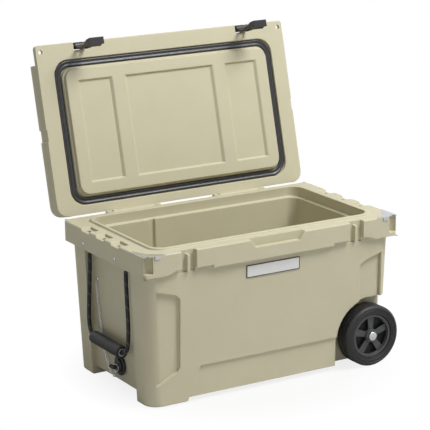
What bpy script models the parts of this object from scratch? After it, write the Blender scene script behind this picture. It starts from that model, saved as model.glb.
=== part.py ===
"""A wheeled ice chest with its lid open, built as separate parts.

Units are metres, +X runs along the length towards the wheels, the front faces -Y and +Z is up.
Lid and latch shapes are drawn with the lid shut, and their pivots turn them open.
Heights are measured from a level just above the ground, and the root lifts the chest by as much.
"""

import math

import bmesh
import bpy
from mathutils import Matrix, Vector

# Fits
GAP = 0.0003  # between parts that touch
RUNNING_GAP = 0.0004  # round a pin, axle or shank, on the radius
LIFT = 0.001  # by which a cutter passes the face it opens
GROUND = -0.004  # the ground's height in the coordinates that parts are drawn in
ROUND_MIDDLE = 0.3  # share of a rounding's size that its middle point is set in

# Chest body
RIM_LENGTH = 0.690
RIM_WIDTH = 0.400
RIM_TOP = 0.364
RIM_HEIGHT = 0.050
RIM_OVERHANG = 0.010
RIM_CORNER = 0.010
BODY_BOTTOM = 0.0055
BODY_CORNER = 0.032
BODY_DRAFT = 0.010  # by which each wall leans in from the rim to the bottom
BODY_EDGE = 0.009  # rounding of the bottom edge
RIM_BOTTOM = RIM_TOP - RIM_HEIGHT
RIM_FRONT = -RIM_WIDTH / 2
RIM_BACK = RIM_WIDTH / 2
RIM_END = RIM_LENGTH / 2

# Ice space
FRONT_WALL = 0.041
BACK_WALL = 0.035
END_WALL = 0.0525
TUB_CORNER = 0.030
TUB_FLOOR = 0.058
SUMP_DEPTH = 0.020
SUMP_LENGTH = 0.045
SUMP_WIDTH = 0.052
TUB_DRAFT = 0.010
LEDGE_WIDTH = 0.011
LEDGE_DROP = 0.020
LIP_HEIGHT = 0.005
LIP_WIDTH = 0.009
DIVIDER_X = -0.128
DIVIDER_SLOT = 0.012
DIVIDER_DEPTH = 0.006

# Skin, insulation and its filling ports
SKIN = 0.004
RECESS_ROOM = 0.019  # from the body's face to the insulation, clear of every recess
BODY_PORT_X = -0.100
PORT_RADIUS = 0.011
PLUG_FLANGE = 0.004

# Recesses of the body
CORNER_POCKET_DEPTH = 0.008
POCKET_LOW = 0.076
POCKET_HIGH = 0.262
POCKET_INNER = RIM_END - 0.098
POCKET_OUTER = RIM_END - 0.037
POCKET_CHAMFER = 0.012
POCKET_FALL = 0.028  # of its lower edge towards the corner
POCKET_CLIMB = 0.014  # of its upper edge towards the corner
BAND_DEPTH = 0.005
BAND_HIGH = 0.080
BAND_LEFT_HIGH = 0.152 - RIM_END
BAND_LEFT_LOW = 0.123 - RIM_END
CHANNEL_DEPTH = 0.013
CHANNEL_FRONT = -0.114
CHANNEL_BACK = 0.112
CHANNEL_LEAN = 0.004
ARCH_TOP = 0.0175  # of the gap between the legs, under the drain end
ARCH_LENGTH = 0.065

# Rim details
LATCH_X = RIM_END - 0.117
KEEPER_WIDTH = 0.038
KEEPER_DEPTH = 0.014
RIB_WIDTH = 0.007
RIB_BEHIND_FACE = 0.003
RIB_HIGH = 0.354
RISE = 0.007  # of the rim's lower edge below a latch
RISE_INNER = LATCH_X - 0.063
RISE_OUTER = LATCH_X + 0.034
RISE_SLOPE = 0.020
FINGER_X = 0.008
FINGER_TOP = 0.150
FINGER_BOTTOM = 0.118
FINGER_HEIGHT = 0.020
FINGER_DEPTH = 0.014
NOTCH_CENTRE = 0.012
NOTCH_PITCH = 0.074
NOTCH_WIDTH = 0.042
NOTCH_DROP = 0.006
NOTCH_REACH = 0.026
TIE_SLOT_WIDTH = 0.022
TIE_SLOT_ACROSS = 0.008
TIE_SLOT_DROP = 0.022
LOCK_X = RIM_END - 0.010
LOCK_Y = RIM_FRONT + 0.003
LOCK_RADIUS = 0.0055
LOCK_GROOVE = 0.0115
LOCK_GROOVE_X = RIM_END - 0.013
LOCK_GROOVE_DROP = 0.040

# Lid
LID_OPEN_DEGREES = 104.0
LID_LIFT = 0.002  # underside above the rim's top when shut
LID_THICK = 0.045
LID_SIDE = 0.0025  # past the rim's end, at the underside
LID_BULGE = 0.005
LID_FRONT_PAST = 0.0135
LID_BACK = RIM_BACK + 0.0015
LID_FRONT_CORNER = 0.008
LID_BACK_CORNER = 0.027
LID_TOP_EDGE = 0.014
LID_SWELL_LOW = 0.012  # heights between which a lid wall swells out, over its underside
LID_SWELL_HIGH = 0.018
FLANGE_THICK = 0.011
FLANGE_ALONG = 0.050
FLANGE_ACROSS = 0.046
LID_SKIN = 0.006
PAD_DROP = 0.010
PAD_ROOM = 0.008
PANEL_DEPTH = 0.006
PANEL_SLOPE = 0.006  # of a panel's end walls
PANEL_DRAFT = 0.0015  # of its long walls
PANEL_FRONT = RIM_FRONT + 0.080
PANEL_BACK = RIM_BACK - 0.074
MIDDLE_PANEL = RIM_LENGTH - 0.442
END_PANEL = 0.093
END_PANEL_X = RIM_END - 0.140
STRAP_GROOVE_Y = 0.003
STRAP_GROOVE_WIDTH = 0.028
STRAP_GROOVE_DEPTH = 0.007
LID_BOTTOM = RIM_TOP + LID_LIFT
LID_TOP = LID_BOTTOM + LID_THICK
LID_FRONT = RIM_FRONT - LID_FRONT_PAST
LID_END = RIM_END + LID_SIDE

# Gasket
GASKET_WIDTH = 0.016
GASKET_THICK = 0.0044
GASKET_ROOM = 0.0015
GROOVE_DEPTH = LIP_HEIGHT - LID_LIFT + GASKET_THICK + 2 * GAP

# Hinge
HINGE_BEHIND = 0.009
HINGE_DROP = 0.0063
EAR_RADIUS = HINGE_BEHIND
EAR_WIDTH = 0.014
LUG_RADIUS = HINGE_BEHIND - 0.0005
LUG_INNER = 0.092
LUG_WIDTH = 0.116
LUG_HEIGHT = 0.033
LUG_SIDE_GAP = 0.001
HEEL_LENGTH = 0.008
HINGE_PIN_RADIUS = 0.004
HINGE_PIN_HEAD = 0.006
HINGE_PIN_HEAD_THICK = 0.002
HINGE_AXIS = (0.0, RIM_BACK + HINGE_BEHIND, RIM_TOP - HINGE_DROP)

# Latches
LATCH_NOTCH = 0.036
LATCH_NOTCH_DEPTH = 0.0195
LATCH_WIDTH = 0.024
LATCH_BASE_RADIUS = 0.0085
LATCH_THICK = 0.006
LATCH_GRIP_WIDTH = 0.038
LATCH_SLOT_WIDTH = 0.011
LATCH_SLOT_TOP = 0.020
LATCH_SLOT_BOTTOM = 0.058
LATCH_PIN_RADIUS = 0.0025
LATCH_PIN_BITE = 0.009
LATCH_Y = LID_FRONT + 0.009
LATCH_Z = LID_BOTTOM + 0.011
STRAP_LINE = (
    (0.0, 0.0),
    (0.006, -0.014),
    (0.008, -0.030),
    (0.0075, -0.043),
    (0.0040, -0.056),
    (0.0040, -0.074),
)
GRIP_OUTLINE = (
    (0.0070, -0.067),
    (0.0115, -0.083),
    (0.0075, -0.093),
    (0.0080, -0.1035),
    (-0.0095, -0.1035),
    (-0.0075, -0.086),
    (0.0010, -0.067),
)

# Corner plates and badge
PLATE_ALONG = 0.056
PLATE_ACROSS = 0.062
PLATE_THICK = 0.0015
PLATE_SUNK = 0.001  # of the plate's underside below the rim's top
PLATE_WAIST = 0.42  # how far along the plate its hollow inner edge comes
PLATE_TIP = 0.006
TONGUE_WIDTH = 0.014
TONGUE_DROP = 0.007
BADGE_WIDTH = 0.145
BADGE_HEIGHT = 0.030
BADGE_THICK = 0.0015
BADGE_CORNER = 0.002
BADGE_Z = 0.287

# Wheels and axle
WHEEL_RADIUS = 0.0755
WHEEL_WIDTH = 0.046
WHEEL_X = RIM_END - 0.068
WHEEL_FACE = 0.0005  # wheel's outer face inside the rim's face
WELL_CLEARANCE = 0.0175
WELL_BEHIND = 0.008
TYRE_THICK = 0.022
TYRE_SHOULDER = 0.008
TYRE_DISH = 0.003  # of a side wall at the hub
HUB_RIM = 0.006
HUB_FACE_SUNK = 0.004
HUB_BACK_SUNK = 0.003
HUB_BOSS = 0.016
SPOKES = 5
SPOKE_AT_BOSS = 0.013
SPOKE_AT_RIM = 0.018
WEB_SUNK = 0.010
WEB_THICK = 0.014
WEB_FLOOR = 0.003  # left behind the hollows between the spokes
AXLE_RADIUS = 0.006
AXLE_SLEEVE = 0.006
WASHER_RADIUS = 0.013
WASHER_THICK = 0.0015
CAP_RADIUS = 0.011
CAP_PAST = 0.0035
CAP_SKIRT = 0.007
CAP_THICK = 0.0015
CAP_EDGE = 0.003
WHEEL_Z = GROUND + WHEEL_RADIUS

# Feet
RUBBER_EDGE = 0.002  # bevel of a rubber part's rim
FOOT_X = 0.060 - RIM_END
FOOT_Y = RIM_BACK - 0.051
FOOT_BOTTOM = GROUND + 0.0025
LEG_EDGE = 0.004
LEG_INNER = 0.108
LEG_LOW = 0.119 - RIM_END
PAD_RADIUS = 0.024
PAD_SUNK = 0.004

# Tow handle: a rope through a tube
ROPE_RADIUS = 0.006
ROPE_STEP = 0.024  # between the rings of the rope's mesh
ROPE_Y = 0.090
ROPE_X = 0.0125 - RIM_END
ROPE_HOLE_DEPTH = 0.030
ROPE_PIVOT_Z = RIM_BOTTOM - ROPE_RADIUS - GAP
GRIP_X = 0.0085 - RIM_END
GRIP_Z = 0.106
ROPE_ROUTE = (
    (ROPE_X, ROPE_Y, ROPE_PIVOT_Z),
    (0.0124 - RIM_END, 0.0905, 0.2800),
    (0.0120 - RIM_END, 0.0930, 0.2450),
    (0.0115 - RIM_END, 0.0962, 0.2100),
    (0.0110 - RIM_END, 0.0985, 0.1750),
    (0.0102 - RIM_END, 0.0985, 0.1450),
    (0.0095 - RIM_END, 0.0930, 0.1210),
    (0.0087 - RIM_END, 0.0770, 0.1074),
    (GRIP_X, 0.0600, GRIP_Z),
    (GRIP_X, 0.0270, GRIP_Z),
    (GRIP_X, 0.0, GRIP_Z),
)
GRIP_RADIUS = 0.015
GRIP_LENGTH = 0.140
GRIP_BORE_SHARE = 1.15  # of the rope, where it leaves the grip in a bend
ROPE_SCREW_Y = (-0.061, 0.097)
ROPE_SCREW_Z = 0.328
SCREW_HEAD = 0.0045
SCREW_HEAD_HEIGHT = 0.0022
SCREW_SHANK = 0.002
SCREW_LENGTH = 0.006

# Drain
DRAIN_Y = -0.022
DRAIN_Z = 0.058
DRAIN_BORE = 0.010
DRAIN_TUBE = 0.013
DRAIN_SLEEVE = 0.004
DRAIN_FLANGE = 0.0245
DRAIN_FLANGE_THICK = 0.004
DRAIN_EDGE = 0.0015
DRAIN_SEAL_IN = 0.002  # of the seal's edge inside the flange's
DRAIN_SEAL_THICK = 0.002
DRAIN_NUT_RADIUS = 0.018
DRAIN_NUT_THICK = 0.004
PLUG_HEAD = 0.0165
PLUG_HEAD_THICK = 0.004
PLUG_SHANK = 0.018
STEM_RADIUS = 0.003
STEM_LENGTH = 0.0085
WING_LENGTH = 0.008
WING_WIDTH = 0.022
WING_THICK = 0.006
RING_RADIUS = 0.0085
RING_WIRE = 0.001
RING_YAW_DEGREES = 20.0
CHAIN_RADIUS = 0.0022
ANCHOR_Y = 0.079
ANCHOR_Z = 0.243
CHAIN_ROUTE = (
    (0.0224 - RIM_END, 0.0790, 0.2370),
    (0.0229 - RIM_END, 0.0782, 0.2240),
    (0.0240 - RIM_END, 0.0750, 0.1910),
    (0.0253 - RIM_END, 0.0690, 0.1510),
    (0.0263 - RIM_END, 0.0630, 0.1160),
    (0.0270 - RIM_END, 0.0570, 0.0860),
    (0.0269 - RIM_END, 0.0450, 0.0560),
    (0.0254 - RIM_END, 0.0290, 0.0370),
    (0.0219 - RIM_END, 0.0070, 0.0285),
    (0.0179 - RIM_END, -0.0115, 0.0295),
    (0.0147 - RIM_END, -0.0205, 0.0384),
)

ROUND_STEPS = 32
CORNER_STEPS = 6


# ---------------------------------------------------------------- outlines


def arc(centre, radius, start_degrees, end_degrees, steps):
    """Points of an arc, both ends included, as (a, b) pairs."""
    points = []
    for step in range(steps + 1):
        angle = math.radians(start_degrees + (end_degrees - start_degrees) * step / steps)
        points.append((centre[0] + radius * math.cos(angle), centre[1] + radius * math.sin(angle)))
    return points


def circle(centre, radius, steps=ROUND_STEPS):
    return arc(centre, radius, 0, 360, steps)[:-1]


def rounded_box(half_length, front, back, front_corner, back_corner):
    """A rounded rectangle that is symmetrical in X, anticlockwise from its front left corner."""
    corners = (
        (-half_length + front_corner, front + front_corner, front_corner, 180),
        (half_length - front_corner, front + front_corner, front_corner, 270),
        (half_length - back_corner, back - back_corner, back_corner, 0),
        (-half_length + back_corner, back - back_corner, back_corner, 90),
    )
    points = []
    for x, y, radius, start in corners:
        points += arc((x, y), radius, start, start + 90, CORNER_STEPS)
    return points


def strip(line, half_width):
    """The outline of a strip of even width along a line of points."""
    left, right = [], []
    for index, point in enumerate(line):
        before = Vector(line[max(index - 1, 0)])
        after = Vector(line[min(index + 1, len(line) - 1)])
        along = (after - before).normalized()
        side = Vector((-along.y, along.x)) * half_width
        left.append(tuple(Vector(point) + side))
        right.append(tuple(Vector(point) - side))
    return left + right[::-1]


# ---------------------------------------------------------------- meshes


def put(point, along, height):
    """A point of an outline at a height along an axis, as X, Y, Z."""
    a, b = point
    return {"X": (height, a, b), "Y": (a, height, b), "Z": (a, b, height)}[along]


def loft(sections, along="Z"):
    """A closed solid through (outline, height) sections that all have as many points."""
    mesh = bmesh.new()
    loops = [[mesh.verts.new(put(p, along, height)) for p in outline] for outline, height in sections]
    for low, high in zip(loops, loops[1:]):
        for index in range(len(low)):
            after = (index + 1) % len(low)
            mesh.faces.new((low[index], low[after], high[after], high[index]))
    mesh.faces.new(loops[0][::-1])
    mesh.faces.new(loops[-1])
    bmesh.ops.recalc_face_normals(mesh, faces=mesh.faces)
    return mesh


def prism(outline, along, low, high):
    return loft(((outline, low), (outline, high)), along)


def block(low, high):
    outline = ((low[0], low[1]), (high[0], low[1]), (high[0], high[1]), (low[0], high[1]))
    return prism(outline, "Z", low[2], high[2])


def rod(centre, radius, along, low, high, steps=ROUND_STEPS):
    return prism(circle(centre, radius, steps), along, low, high)


def turned(profile, centre, along, steps=ROUND_STEPS):
    """A closed solid from (radius, height) points turned round an axis through centre.

    A profile that starts and ends at radius 0 is a solid; any other is closed into a ring.
    """
    mesh = bmesh.new()
    loops = []
    for radius, height in profile:
        if radius == 0:
            loops.append([mesh.verts.new(put(centre, along, height))] * steps)
        else:
            ring = circle(centre, radius, steps)
            loops.append([mesh.verts.new(put(p, along, height)) for p in ring])
    pairs = list(zip(loops, loops[1:]))
    if profile[0][0] != 0:
        pairs.append((loops[-1], loops[0]))
    for low, high in pairs:
        for index in range(steps):
            after = (index + 1) % steps
            corners = (low[index], low[after], high[after], high[index])
            mesh.faces.new(tuple(dict.fromkeys(corners)))
    bmesh.ops.recalc_face_normals(mesh, faces=mesh.faces)
    return mesh


def smooth_line(points, spacing):
    """Points of an even spacing on a smooth curve through the given points."""
    ends = [2 * points[0] - points[1]] + points + [2 * points[-1] - points[-2]]
    dense = []
    for index in range(1, len(ends) - 2):
        a, b, c, d = ends[index - 1 : index + 3]
        for step in range(20):
            t = step / 20
            dense.append(
                0.5 * (2 * b + (c - a) * t + (2 * a - 5 * b + 4 * c - d) * t**2
                       + (3 * b - a - 3 * c + d) * t**3)
            )
    dense.append(points[-1])
    lengths = [0.0]
    for one, other in zip(dense, dense[1:]):
        lengths.append(lengths[-1] + (other - one).length)
    count = max(2, round(lengths[-1] / spacing))
    line, index = [], 0
    for step in range(count + 1):
        target = lengths[-1] * step / count
        while index < len(dense) - 2 and lengths[index + 1] < target:
            index += 1
        share = (target - lengths[index]) / (lengths[index + 1] - lengths[index])
        line.append(dense[index].lerp(dense[index + 1], share))
    return line


# ---------------------------------------------------------------- objects


def pivot(name, at, parent=None, degrees=0.0):
    """An empty on a joint's axis, turned round X by so many degrees."""
    empty = bpy.data.objects.new(name, None)
    empty["at"] = at
    empty.parent = parent
    start = Vector(parent["at"]) if parent else Vector()
    empty.location = Vector(at) - start
    empty.rotation_euler.x = math.radians(degrees)
    bpy.context.scene.collection.objects.link(empty)
    return empty


def attach(obj, parent):
    """Hangs an object on a pivot so that its mesh keeps the coordinates it was drawn in."""
    obj.parent = parent
    obj.location = -Vector(parent["at"])
    bpy.context.scene.collection.objects.link(obj)
    return obj


def part(name, mesh, material, parent):
    data = bpy.data.meshes.new(name)
    mesh.to_mesh(data)
    mesh.free()
    data.materials.append(material)
    data.shade_smooth()
    data.set_sharp_from_angle(angle=math.radians(35))
    return attach(bpy.data.objects.new(name, data), parent)


def helper(name, mesh, parent):
    """A solid that only cuts or is joined, and isn't a part."""
    data = bpy.data.meshes.new(name)
    mesh.to_mesh(data)
    mesh.free()
    obj = attach(bpy.data.objects.new(name, data), parent)
    obj.hide_render = True
    obj.display_type = "WIRE"
    return obj


def boolean(target, operation, other):
    modifier = target.modifiers.new(f"{operation.lower()} {other.name}", "BOOLEAN")
    modifier.operation = operation
    modifier.object = other
    modifier.solver = "EXACT"


def cut(target, name, mesh):
    boolean(target, "DIFFERENCE", helper(name, mesh, target.parent))


def add(target, name, mesh):
    boolean(target, "UNION", helper(name, mesh, target.parent))


def tube(name, points, radius, spacing, material, parent, round_ends=False):
    data = bpy.data.curves.new(name, "CURVE")
    data.dimensions = "3D"
    data.bevel_depth = radius
    data.bevel_resolution = 2
    data.use_fill_caps = True
    line = [(place, 1.0) for place in smooth_line([Vector(p) for p in points], spacing)]
    if round_ends:
        line = dome(line[1][0], line[0][0], radius)[::-1] + line + dome(line[-2][0], line[-1][0], radius)
    spline = data.splines.new("POLY")
    spline.points.add(len(line) - 1)
    for point, (place, share) in zip(spline.points, line):
        point.co = (*place, 1.0)
        point.radius = share
    data.materials.append(material)
    return attach(bpy.data.objects.new(name, data), parent)


def dome(before, end, radius):
    """Points past a tube's end, each with its share of the radius, that round it off."""
    along = (end - before).normalized()
    points = []
    for degrees in (30, 55, 80):
        angle = math.radians(degrees)
        points.append((end + along * radius * math.sin(angle), math.cos(angle)))
    return points


def finish(name, colour, roughness, metallic=0.0):
    material = bpy.data.materials.new(name)
    material.use_nodes = True
    shader = material.node_tree.nodes["Principled BSDF"]
    shader.inputs["Base Color"].default_value = (*colour, 1.0)
    shader.inputs["Roughness"].default_value = roughness
    shader.inputs["Metallic"].default_value = metallic
    return material


# ---------------------------------------------------------------- chest


def body_half(height):
    """Half the body's length and width at a height, between the bottom and the rim."""
    share = (RIM_BOTTOM - height) / (RIM_BOTTOM - BODY_BOTTOM)
    inset = RIM_OVERHANG + BODY_DRAFT * share
    return RIM_END - inset, RIM_BACK - inset


def body_outline(height, inset=0.0):
    length, width = body_half(height)
    corner = BODY_CORNER - inset / 2
    return rounded_box(length - inset, inset - width, width - inset, corner, corner)


def body_core(inset, low, high):
    """The body's tapered form, drawn in by an even amount."""
    return loft(((body_outline(low, inset), low), (body_outline(high, inset), high)))


def tub_outline(inset):
    """The ice space's outline, drawn in by an amount."""
    corner = TUB_CORNER - inset / 2
    return rounded_box(
        RIM_END - END_WALL - inset,
        RIM_FRONT + FRONT_WALL + inset,
        RIM_BACK - BACK_WALL - inset,
        corner,
        corner,
    )


def tub_sections(grow):
    """Sections of the ice space below its ledge, made larger by an amount."""
    ledge = RIM_TOP - LEDGE_DROP
    return (
        (tub_outline(LEDGE_WIDTH + TUB_DRAFT - grow), TUB_FLOOR - grow),
        (tub_outline(LEDGE_WIDTH - grow), ledge),
    )


def wheel_well_outline(grow):
    """The side view of a wheel well: an arch that runs out at the end and the bottom."""
    radius = WHEEL_RADIUS + WELL_CLEARANCE + grow
    past = RIM_END + RIM_OVERHANG
    arch = arc((WHEEL_X, WHEEL_Z), radius, 180, 90, 10)
    top = WHEEL_Z + radius
    low = BODY_BOTTOM - 2 * RIM_OVERHANG
    return [(WHEEL_X - radius, low), *arch, (past, top), (past, low)]


def well_inner():
    return RIM_BACK - WHEEL_FACE - WHEEL_WIDTH - WELL_BEHIND


def step_outline(grow):
    """The raised end of the ice space's floor, over the wheels, in side view."""
    clear = WHEEL_RADIUS + WELL_CLEARANCE + 3 * SKIN
    return (
        (WHEEL_X - clear - grow, 0.0),
        (WHEEL_X - clear - grow, WHEEL_Z + clear + grow),
        (RIM_END, WHEEL_Z + clear + grow),
        (RIM_END, 0.0),
    )


def sump(grow):
    """The hollow in the floor in front of the drain."""
    end = tub_wall_at(TUB_FLOOR)
    half = SUMP_WIDTH / 2 + grow
    return block(
        (-end - grow, DRAIN_Y - half, TUB_FLOOR - SUMP_DEPTH - grow),
        (SUMP_LENGTH - end + grow, DRAIN_Y + half, TUB_FLOOR + SUMP_DEPTH),
    )


def end_arch(grow):
    """The gap between the two legs, open at the end and the bottom."""
    return block(
        (-RIM_END, CHANNEL_FRONT - CHANNEL_LEAN / 2 - grow, BODY_BOTTOM - BODY_EDGE),
        (ARCH_LENGTH - RIM_END + grow, CHANNEL_BACK - CHANNEL_LEAN + grow, ARCH_TOP + grow),
    )


def insulation(name, clearance, make):
    """The foam between the skins. make() turns the mesh into a part or a helper."""
    inset = RECESS_ROOM + clearance
    low = BODY_BOTTOM + 2 * SKIN + clearance
    high = RIM_TOP - LEDGE_DROP - 2 * SKIN - clearance
    foam = make(name, body_core(inset, low, high))
    tub = helper(f"{name} tub", loft(tub_room(SKIN + clearance)), foam.parent)
    step = step_outline(-SKIN - clearance)
    raised = prism(step, "Y", -RIM_BACK, RIM_BACK)
    boolean(tub, "DIFFERENCE", helper(f"{name} step", raised, foam.parent))
    boolean(foam, "DIFFERENCE", tub)
    for side in (-1, 1):
        inner = well_inner() - SKIN - clearance
        low_y, high_y = sorted((side * inner, side * (RIM_BACK + LIFT)))
        well = prism(wheel_well_outline(SKIN + clearance), "Y", low_y, high_y)
        cut(foam, f"{name} well {side}", well)
    cut(foam, f"{name} sump", sump(SKIN + clearance))
    cut(foam, f"{name} arch", end_arch(SKIN + clearance))
    sleeve = AXLE_RADIUS + AXLE_SLEEVE + clearance
    cut(foam, f"{name} axle", rod((WHEEL_X, WHEEL_Z), sleeve, "Y", -RIM_BACK, RIM_BACK))
    groove = divider_groove(f"{name} divider", SKIN + clearance, foam.parent)
    boolean(foam, "DIFFERENCE", groove)
    drain = DRAIN_TUBE + DRAIN_SLEEVE + clearance
    cut(foam, f"{name} drain", rod((DRAIN_Y, DRAIN_Z), drain, "X", -RIM_END, -RIM_END / 2))
    return foam


def tub_room(grow):
    """The ice space with its walls' skin, for the foam: it runs up past the foam's top."""
    floor, ledge = tub_sections(grow)
    return (floor, ledge, (ledge[0], RIM_TOP))


def divider_groove(name, grow, parent):
    """The upright slot in the ice space's long walls that holds a divider."""
    ring = helper(name, loft(tub_room(DIVIDER_DEPTH + grow)), parent)
    half = DIVIDER_SLOT / 2 + grow
    low = (DIVIDER_X - half, RIM_FRONT, TUB_FLOOR + TUB_DRAFT - grow)
    strip = block(low, (DIVIDER_X + half, RIM_BACK, RIM_TOP + LIFT))
    boolean(ring, "INTERSECT", helper(f"{name} strip", strip, parent))
    return ring


def recess(target, name, outline, along, low, high, depth):
    """Sinks an area of the body's face by an even depth, following its corners and draft."""
    cutter = helper(name, prism(outline, along, low, high), target.parent)
    core = body_core(depth, BODY_BOTTOM - RIM_OVERHANG, RIM_BOTTOM + RIM_OVERHANG)
    boolean(cutter, "DIFFERENCE", helper(f"{name} floor", core, target.parent))
    boolean(target, "DIFFERENCE", cutter)


def chest_form():
    """The body, its rim and the sealing lip, as one solid before anything is cut."""
    length, width = body_half(BODY_BOTTOM)
    corner = BODY_CORNER - BODY_EDGE
    edge = ROUND_MIDDLE * BODY_EDGE
    sole = rounded_box(length - BODY_EDGE, BODY_EDGE - width, width - BODY_EDGE, corner, corner)
    bend = rounded_box(length - edge, edge - width, width - edge, corner, corner)
    rim = rounded_box(RIM_END, RIM_FRONT, RIM_BACK, RIM_CORNER, RIM_CORNER)
    soft = rounded_box(
        RIM_END - SKIN / 2, RIM_FRONT + SKIN / 2, RIM_BACK - SKIN / 2, RIM_CORNER, RIM_CORNER
    )
    lip = tub_outline(-LIP_WIDTH)
    return loft(
        (
            (sole, BODY_BOTTOM),
            (bend, BODY_BOTTOM + ROUND_MIDDLE * BODY_EDGE),
            (body_outline(BODY_BOTTOM + BODY_EDGE), BODY_BOTTOM + BODY_EDGE),
            (body_outline(RIM_BOTTOM), RIM_BOTTOM),
            (rim, RIM_BOTTOM),
            (rim, RIM_TOP - SKIN / 2),
            (soft, RIM_TOP),
            (lip, RIM_TOP),
            (tub_outline(-LIP_WIDTH + SKIN / 4), RIM_TOP + LIP_HEIGHT),
        )
    )


def ear_outline():
    """A hinge ear in end view: round at its pin and square into the rim."""
    y, z = HINGE_AXIS[1:]
    inside = RIM_BACK - RIM_OVERHANG
    return [(inside, z + EAR_RADIUS / 2), *arc((y, z), EAR_RADIUS, 60, -90, 12), (inside, z - EAR_RADIUS)]


def ear_places():
    """The X range of each hinge ear, beside each lug of the lid."""
    places = []
    for side in (-1, 1):
        for inner in (LUG_INNER - LUG_SIDE_GAP - EAR_WIDTH, LUG_INNER + LUG_WIDTH + LUG_SIDE_GAP):
            places.append(sorted((side * inner, side * (inner + EAR_WIDTH))))
    return places


def mirrored_x(outline, side):
    return [(side * x, z) for x, z in outline]


def carve_rim(body):
    for side in (-1, 1):
        name = "left" if side < 0 else "right"
        low_x, high_x = sorted((side * (LATCH_X - KEEPER_WIDTH / 2), side * (LATCH_X + KEEPER_WIDTH / 2)))
        floor = RIM_FRONT + KEEPER_DEPTH
        keeper = block((low_x, RIM_FRONT - LIFT, RIM_BOTTOM - LIFT), (high_x, floor, RIM_TOP + LIFT))
        cut(body, f"keeper pocket {name}", keeper)
        rise = (
            (RISE_INNER, RIM_BOTTOM - LIFT),
            (RISE_INNER, RIM_BOTTOM + RISE),
            (RISE_OUTER, RIM_BOTTOM + RISE),
            (RISE_OUTER + RISE_SLOPE, RIM_BOTTOM - LIFT),
        )
        front = body_half(RIM_BOTTOM)[1]
        cut(body, f"rim rise {name}", prism(mirrored_x(rise, side), "Y", RIM_FRONT - LIFT, -front))
        middle = side * LATCH_X
        add(
            body,
            f"keeper rib {name}",
            block(
                (middle - RIB_WIDTH / 2, RIM_FRONT + RIB_BEHIND_FACE, RIM_BOTTOM + GAP),
                (middle + RIB_WIDTH / 2, floor + SKIN, RIB_HIGH),
            ),
        )
        for index in (-1, 0, 1):
            centre = NOTCH_CENTRE + index * NOTCH_PITCH
            low_x, high_x = sorted((side * (RIM_END - NOTCH_REACH), side * (RIM_END + LIFT)))
            half = NOTCH_WIDTH / 2
            outline = (
                (centre - half, RIM_TOP + LIFT),
                (centre - half + NOTCH_DROP / 2, RIM_TOP - NOTCH_DROP),
                (centre + half - NOTCH_DROP / 2, RIM_TOP - NOTCH_DROP),
                (centre + half, RIM_TOP + LIFT),
            )
            cut(body, f"rim notch {name} {index}", prism(outline, "X", low_x, high_x))
            slot_x = side * (RIM_END - NOTCH_REACH / 2)
            slot = block(
                (slot_x - TIE_SLOT_ACROSS / 2, centre - TIE_SLOT_WIDTH / 2, RIM_TOP - TIE_SLOT_DROP),
                (slot_x + TIE_SLOT_ACROSS / 2, centre + TIE_SLOT_WIDTH / 2, RIM_TOP),
            )
            cut(body, f"tie slot {name} {index}", slot)
        centre = (side * LOCK_GROOVE_X, LOCK_Y)
        groove = rod(centre, LOCK_GROOVE, "Z", RIM_TOP - LOCK_GROOVE_DROP, RIM_TOP + LIFT)
        cut(body, f"lock groove {name}", groove)
        seat = prism(plate_outline(side, GAP), "Z", RIM_TOP - PLATE_SUNK - GAP, LID_BOTTOM)
        cut(body, f"plate seat {name}", seat)
    top, bottom = FINGER_TOP / 2, FINGER_BOTTOM / 2
    low = RIM_TOP - FINGER_HEIGHT
    fingers = (
        (FINGER_X - top, RIM_TOP + LIFT),
        (FINGER_X - bottom, low),
        (FINGER_X + bottom, low),
        (FINGER_X + top, RIM_TOP + LIFT),
    )
    cut(body, "finger recess", prism(fingers, "Y", RIM_FRONT - LIFT, RIM_FRONT + FINGER_DEPTH))


def carve_walls(body):
    past = RIM_BACK + LIFT
    for side in (-1, 1):
        name = "front" if side < 0 else "back"
        outer = sorted((side * past, side * (RIM_BACK - RIM_HEIGHT)))
        for end in (-1, 1):
            inner = POCKET_INNER
            chamfer = POCKET_CHAMFER
            outline = mirrored_x(
                (
                    (inner, POCKET_LOW + chamfer),
                    (inner + chamfer / 2, POCKET_LOW),
                    (POCKET_OUTER, POCKET_LOW - POCKET_FALL),
                    (POCKET_OUTER, POCKET_HIGH + POCKET_CLIMB),
                    (inner + chamfer, POCKET_HIGH),
                    (inner, POCKET_HIGH - chamfer),
                ),
                end,
            )
            recess(body, f"corner pocket {name} {end}", outline, "Y", *outer, CORNER_POCKET_DEPTH)
        band = (
            (BAND_LEFT_LOW, BODY_BOTTOM - LIFT),
            (BAND_LEFT_HIGH, BAND_HIGH),
            (WHEEL_X, BAND_HIGH),
            (WHEEL_X, BODY_BOTTOM - LIFT),
        )
        recess(body, f"lower band {name}", band, "Y", *outer, BAND_DEPTH)
        low_y, high_y = sorted((side * past, side * well_inner()))
        cut(body, f"wheel well {name}", prism(wheel_well_outline(0.0), "Y", low_y, high_y))
    channel = (
        (CHANNEL_FRONT - CHANNEL_LEAN / 2, BODY_BOTTOM - 2 * LIFT),
        (CHANNEL_BACK - CHANNEL_LEAN, BODY_BOTTOM - 2 * LIFT),
        (CHANNEL_BACK, RIM_BOTTOM),
        (CHANNEL_FRONT, RIM_BOTTOM),
    )
    recess(body, "end channel", channel, "X", -RIM_END, -RIM_END / 2, CHANNEL_DEPTH)


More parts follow.
